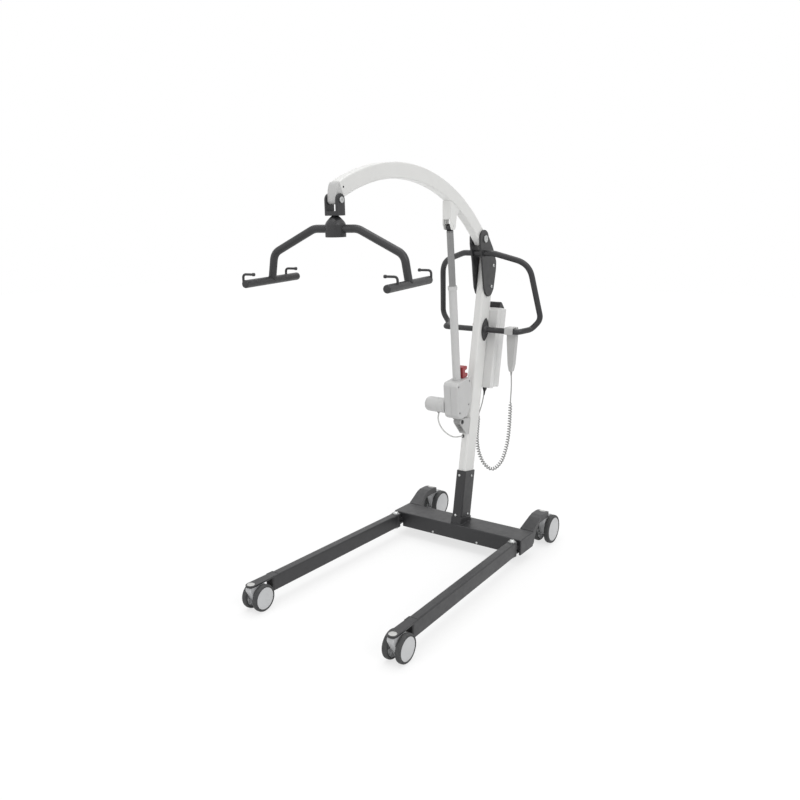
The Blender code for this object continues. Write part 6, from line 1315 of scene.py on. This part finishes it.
# The motor: a can moulded in grey ABS with a domed end and a seam behind its cap, flanged and
# screwed to the gearbox's left side. Its lead comes out underneath.
MOTOR_LENGTH = 0.096
motor_start = GEARBOX_HALF + FIT
motor_end = motor_start + MOTOR_LENGTH
motor = [(0.0, motor_end), (0.0130, motor_end), (0.0200, motor_end - 0.0014), (0.0250, motor_end - 0.0045),
         (0.0286, motor_end - 0.0092), (0.0303, motor_end - 0.0140), (MOTOR_RADIUS, motor_end - 0.0190),
         (MOTOR_RADIUS, motor_start + 0.0330), (0.0303, motor_start + 0.0325),
         (0.0303, motor_start + 0.0312), (MOTOR_RADIUS, motor_start + 0.0307),
         (MOTOR_RADIUS, motor_start + 0.0082), (0.0300, motor_start + 0.0074),
         (0.0300, motor_start + 0.0062), (MOTOR_RADIUS, motor_start + 0.0054),
         (MOTOR_RADIUS, motor_start + 0.0020), (0.0296, motor_start), (0.0, motor_start)]
motor_at = ACTUATOR @ Matrix.Translation((0.0, MOTOR_Y, MOTOR_Z)) @ toward(-1.0)
motor = turned(motor, motor_at, 64)
make_piece("actuator_motor_can", motor, actuator_abs, "lift_actuator", ["actuator_motor"])

# The outer tube: aluminium in the gearbox's pale grey, with a moulded guide ring at its top that
# wipes the rod. It stands in the gearbox's top.
TUBE_TOP = 0.572
tube = [(0.0139, TUBE_TOP - 0.0020), (0.0152, TUBE_TOP), (0.0180, TUBE_TOP), (0.0188, TUBE_TOP - 0.0008),
        (0.0190, TUBE_TOP - 0.0020), (0.0190, TUBE_TOP - 0.0145), (0.0186, TUBE_TOP - 0.0160),
        (0.0166, TUBE_TOP - 0.0166), (0.0165, TUBE_TOP - 0.0180), (0.0165, GEARBOX_TOP + 0.0060),
        (0.0168, GEARBOX_TOP + FIT), (0.0139, GEARBOX_TOP + FIT)]
make_piece("actuator_outer_tube", turned(tube, ACTUATOR, 56, closed=True), actuator_abs, "lift_actuator",
           ["actuator_tube"])

# The rod: hard chromed steel that slides out of the tube, with a dark steel eye on its top that
# is pinned in the boom's bracket.
# Ground and polished chrome, with fine turned rings that run round the rod and a film of oil
chrome, tree, on_piece = start_finish("hard_chrome_on_steel", {"Metallic": 1.0})
turned_in = add_node(tree, "ShaderNodeMapping", {"Scale": (40.0, 40.0, 1500.0)}, {"Vector": on_piece})
rings = add_node(tree, "ShaderNodeTexNoise", {"Scale": 1.0, "Detail": 2.0},
                 {"Vector": turned_in.outputs[0]})
film = add_node(tree, "ShaderNodeTexNoise", {"Scale": 35.0, "Detail": 3.0}, {"Vector": on_piece})
tint = add_node(tree, "ShaderNodeMix", {"data_type": "RGBA", 6: to_linear("#8f8f8f"),
                                        7: to_linear("#838383")}, {0: film.outputs[0]})
dull = add_node(tree, "ShaderNodeMapRange", {"To Min": 0.26, "To Max": 0.42}, {0: film.outputs[0]})
end_finish(tree, tint.outputs[2], dull.outputs[0], rings.outputs[0], strength=0.10, distance=0.00003)
stroke = (BOOM_EYE - ACTUATOR_PIN).length
EYE = ACTUATOR @ Matrix.Translation((0.0, 0.0, stroke))
# In the photographed pose the rod can still go down this far
DOWN_STROKE = 0.2075
rod_low = GEARBOX_TOP + 0.0006 + DOWN_STROKE - stroke
chromed = rod(EYE @ Vector((0, 0, rod_low)), EYE @ Vector((0, 0, -0.0125)), 0.0135, 56, 0.0008)
make_piece("actuator_chrome_rod", chromed, chrome, "lift_rod", ["actuator_rod"])
ring = [(0.0, -0.010), (0.0126, -0.010), (0.0135, -0.0092), (0.0135, 0.0092), (0.0126, 0.010), (0.0, 0.010)]
ring = turned(ring, EYE @ toward(1.0), 48)
shank = turned([(0.0, -0.0210), (0.0128, -0.0210), (0.0135, -0.0202), (0.0135, -0.0128), (0.0100, -0.0090),
                (0.0, -0.0090)], EYE, 48)
eye_hole = rod_across(EYE, 0.03, 0.0, 0.0, 0.006, 32)
make_piece("actuator_rod_eye", carve(carve(ring, [shank], "UNION"), [eye_hole]), soft_steel, "lift_rod")

# The lowering grip: a red moulded grip behind the tube, cut out on the mast's side for two
# fingers. Pulled up, it lets the boom down when the battery is flat.
red_nylon = moulded_plastic("moulded_nylon_red", "#9a3338", "#8c2c31", 0.42, 0.35)
GRIP = ACTUATOR @ Matrix.Translation((0.0, 0.040, GEARBOX_TOP + FIT))
grip = [(-0.0165, 0.0), (0.0150, 0.0), (0.0235, 0.004), (0.0235, 0.015), (0.0150, 0.018), (0.0040, 0.019),
        (0.0040, 0.030), (0.0150, 0.031), (0.0215, 0.034), (0.0215, 0.045), (0.0130, 0.048),
        (-0.0165, 0.048)]
grip = rounded_outline(grip, [0.002, 0.006] + [0.004] * 8 + [0.005, 0.005])
grip = prism(grip, -0.0165, 0.0165, GRIP @ SIDEWAYS, 0.0028, 3)
make_piece("lowering_pull_grip", grip, red_nylon, "lowering_grip", ["lowering_knob"])

# The control box: a moulded ABS box screwed to the mast's back, with a black gland for the
# pendant's cord in its underside and a bored seat for the stop button.
BOX_BACK = 0.0683
BOX_LOW = 0.547
BOX_TOP = 0.885
housing_abs = moulded_plastic("moulded_abs_housing_grey", "#dededd", "#d7d7d6", 0.44, 0.35)
case = box((-0.056, 0.0403, BOX_LOW), (0.056, BOX_BACK, BOX_TOP), MAST, 0.0040, 4)
STOP = MAST @ Matrix.Translation((-0.056, 0.0543, 0.815)) @ toward(-1.0)
joint_line = carve(box((-0.06, 0.0535, BOX_LOW - 0.01), (0.06, 0.0541, BOX_TOP + 0.01), MAST),
                   [box((-0.0552, 0.05, BOX_LOW + 0.0008), (0.0552, 0.06, BOX_TOP - 0.0008), MAST)])
bore = rod(STOP @ Vector((0, 0, -0.020)), STOP @ Vector((0, 0, 0.004)), 0.0064, 36)
make_piece("control_case", carve(case, [joint_line, bore]), housing_abs, "base", ["control_box"])
gland = [(0.0, -0.014), (0.0052, -0.014), (0.0062, -0.0134), (0.0066, -0.0120), (0.0066, -0.0090),
         (0.0088, -0.0080), (0.0092, -0.0070), (0.0092, -0.0012), (0.0086, -0.0004), (0.0120, -0.0004),
         (0.0124, 0.0), (0.0, 0.0)]
gland_at = MAST @ Matrix.Translation((0.022, 0.0543, BOX_LOW))
make_piece("cord_gland_nut", turned(gland, gland_at, 24), black_nylon, "base",
           smooth=20.0)

# The battery: a moulded pack that hangs on the control box's back and lifts out, with a black
# ribbed handle on its top.
BATTERY_TOP = BOX_TOP + 0.009
BATTERY_BACK = BOX_BACK + 0.0523
case = box((-0.056, BOX_BACK + FIT, BOX_LOW + 0.006), (0.056, BATTERY_BACK, BATTERY_TOP), MAST, 0.0060, 5)
lines = []
for z in (0.600, 0.842):
    ring = carve(box((-0.06, 0.06, z), (0.06, 0.13, z + 0.0008), MAST),
                 [box((-0.0552, 0.0, z - 0.01), (0.0552, BOX_BACK + 0.0515, z + 0.01), MAST)])
    lines.append(ring)
make_piece("battery_case", carve(case, lines), housing_abs, "battery", ["battery_pack"])
wedge = [(BOX_BACK + 0.0063, BOX_TOP - 0.004), (BOX_BACK + 0.0083, BOX_TOP + 0.032),
         (BOX_BACK + 0.0143, BOX_TOP + 0.036), (BOX_BACK + 0.0263, BOX_TOP + 0.031),
         (BATTERY_BACK - 0.0025, BOX_TOP + 0.013), (BATTERY_BACK - 0.0025, BOX_TOP - 0.004)]
wedge = rounded_outline(wedge, [0.001, 0.006, 0.006, 0.010, 0.006, 0.001])
make_piece("battery_handle", prism(wedge, -0.044, 0.044, MAST @ SIDEWAYS, 0.0030, 4), black_nylon,
           "battery")
slope_low = Vector((0.0, BATTERY_BACK - 0.0060, BOX_TOP + 0.0157))
slope_high = Vector((0.0, BOX_BACK + 0.0290, BOX_TOP + 0.0290))
slope = (slope_high - slope_low).normalized()
rows = [MAST @ slope_low.lerp(slope_high, k / 5.0) for k in range(6)]
face = to_mast @ Vector((0.0, slope.z, -slope.y))
ribs("battery_handle_ribs", rows, face, (1.0, 0.0, 0.0), 0.0010, 0.072, black_nylon, "battery")

# The stop button: a red mushroom head moulded in nylon, on a stem in the control box's left side.
# Pushing it in cuts the power.
stop = [(0.0, 0.0090), (0.0045, 0.0089), (0.0075, 0.0082), (0.0093, 0.0068), (0.0100, 0.0054),
        (0.0100, 0.0044), (0.0092, 0.0036), (0.0062, 0.0030), (0.0060, 0.0026), (0.0060, -0.0095),
        (0.0, -0.0100)]
make_piece("stop_button_head", turned(stop, STOP, 48), red_nylon, "stop_push", ["stop_button"])

# The hand pendant: a moulded grey shell with a hook that hangs over the handle's low bar, and
# four black keys on the face that looks at the carer.
PENDANT = Matrix.Translation((PENDANT_X, *(MAST @ HANDLE_LOW).yz))
FACING_BACK = Matrix(((-1, 0, 0, 0), (0, 0, 1, 0), (0, 1, 0, 0), (0, 0, 0, 1)))
NEAR = HANDLE_RADIUS + FIT
HOOK_TOP = NEAR + 0.005
SHELL_LOW = HOOK_TOP - 0.190
SHELL_THICK = 0.024
KEY_ACROSS = 0.0165
KEY_DOWN = 0.023
pendant_abs = moulded_plastic("moulded_abs_pendant_grey", "#bdbdbc", "#b5b5b4", 0.50, 0.40)
half = [(0.007, SHELL_LOW), (0.0140, SHELL_LOW + 0.030), (0.0215, HOOK_TOP - 0.055), (0.0215, HOOK_TOP)]
plan = rounded_outline(half + [(-x, z) for x, z in reversed(half)],
                       [0.004, 0.030, 0.080, 0.004, 0.004, 0.080, 0.030, 0.004])
shell = prism(plan, NEAR, NEAR + SHELL_THICK, PENDANT @ FACING_BACK, 0.0030, 4)
hook = [(NEAR + 0.006, HOOK_TOP - 0.0002), (-HOOK_TOP, HOOK_TOP - 0.0002), (-HOOK_TOP, -0.0125),
        (-NEAR, -0.0125), (-NEAR, NEAR), (NEAR + 0.006, NEAR)]
hook = rounded_outline(hook, [0.0, 0.012, 0.002, 0.001, 0.009, 0.0])
shell = carve(shell, [prism(hook, -0.0185, 0.0185, PENDANT @ SIDEWAYS, 0.0010, 2)], "UNION")
key_frames = []
pockets = []
for name, column, row in (("boom_up", -0.5, 1.0), ("boom_down", 0.5, 1.0),
                          ("legs_open", -0.5, 0.0), ("legs_close", 0.5, 0.0)):
    key_at = PENDANT @ Matrix.Translation((column * KEY_ACROSS, NEAR + SHELL_THICK, row * KEY_DOWN - 0.062))
    key_frames.append((name, key_at))
    pockets.append(box((-0.0073, -0.006, -0.0083), (0.0073, 0.01, 0.0083), key_at))
make_piece("pendant_case", carve(shell, pockets), pendant_abs, "handset", ["pendant_shell"])
for name, key_at in key_frames:
    key = box((-0.007, -0.0047, -0.008), (0.007, 0.0015, 0.008), key_at, 0.0012, 4)
    dish_at = key_at @ Matrix.Translation((0.0, 0.0012, 0.0)) @ Matrix.Rotation(-math.pi / 2.0, 4, "X")
    dish = [(0.0, -0.0006), (0.0034, -0.0003), (0.0048, 0.0004), (0.0052, 0.0010), (0.0, 0.0010)]
    dish = turned(dish, dish_at, 36)
    make_piece("pendant_key_" + name, carve(key, [dish]), black_nylon, "key_" + name + "_body",
               ["key_" + name])
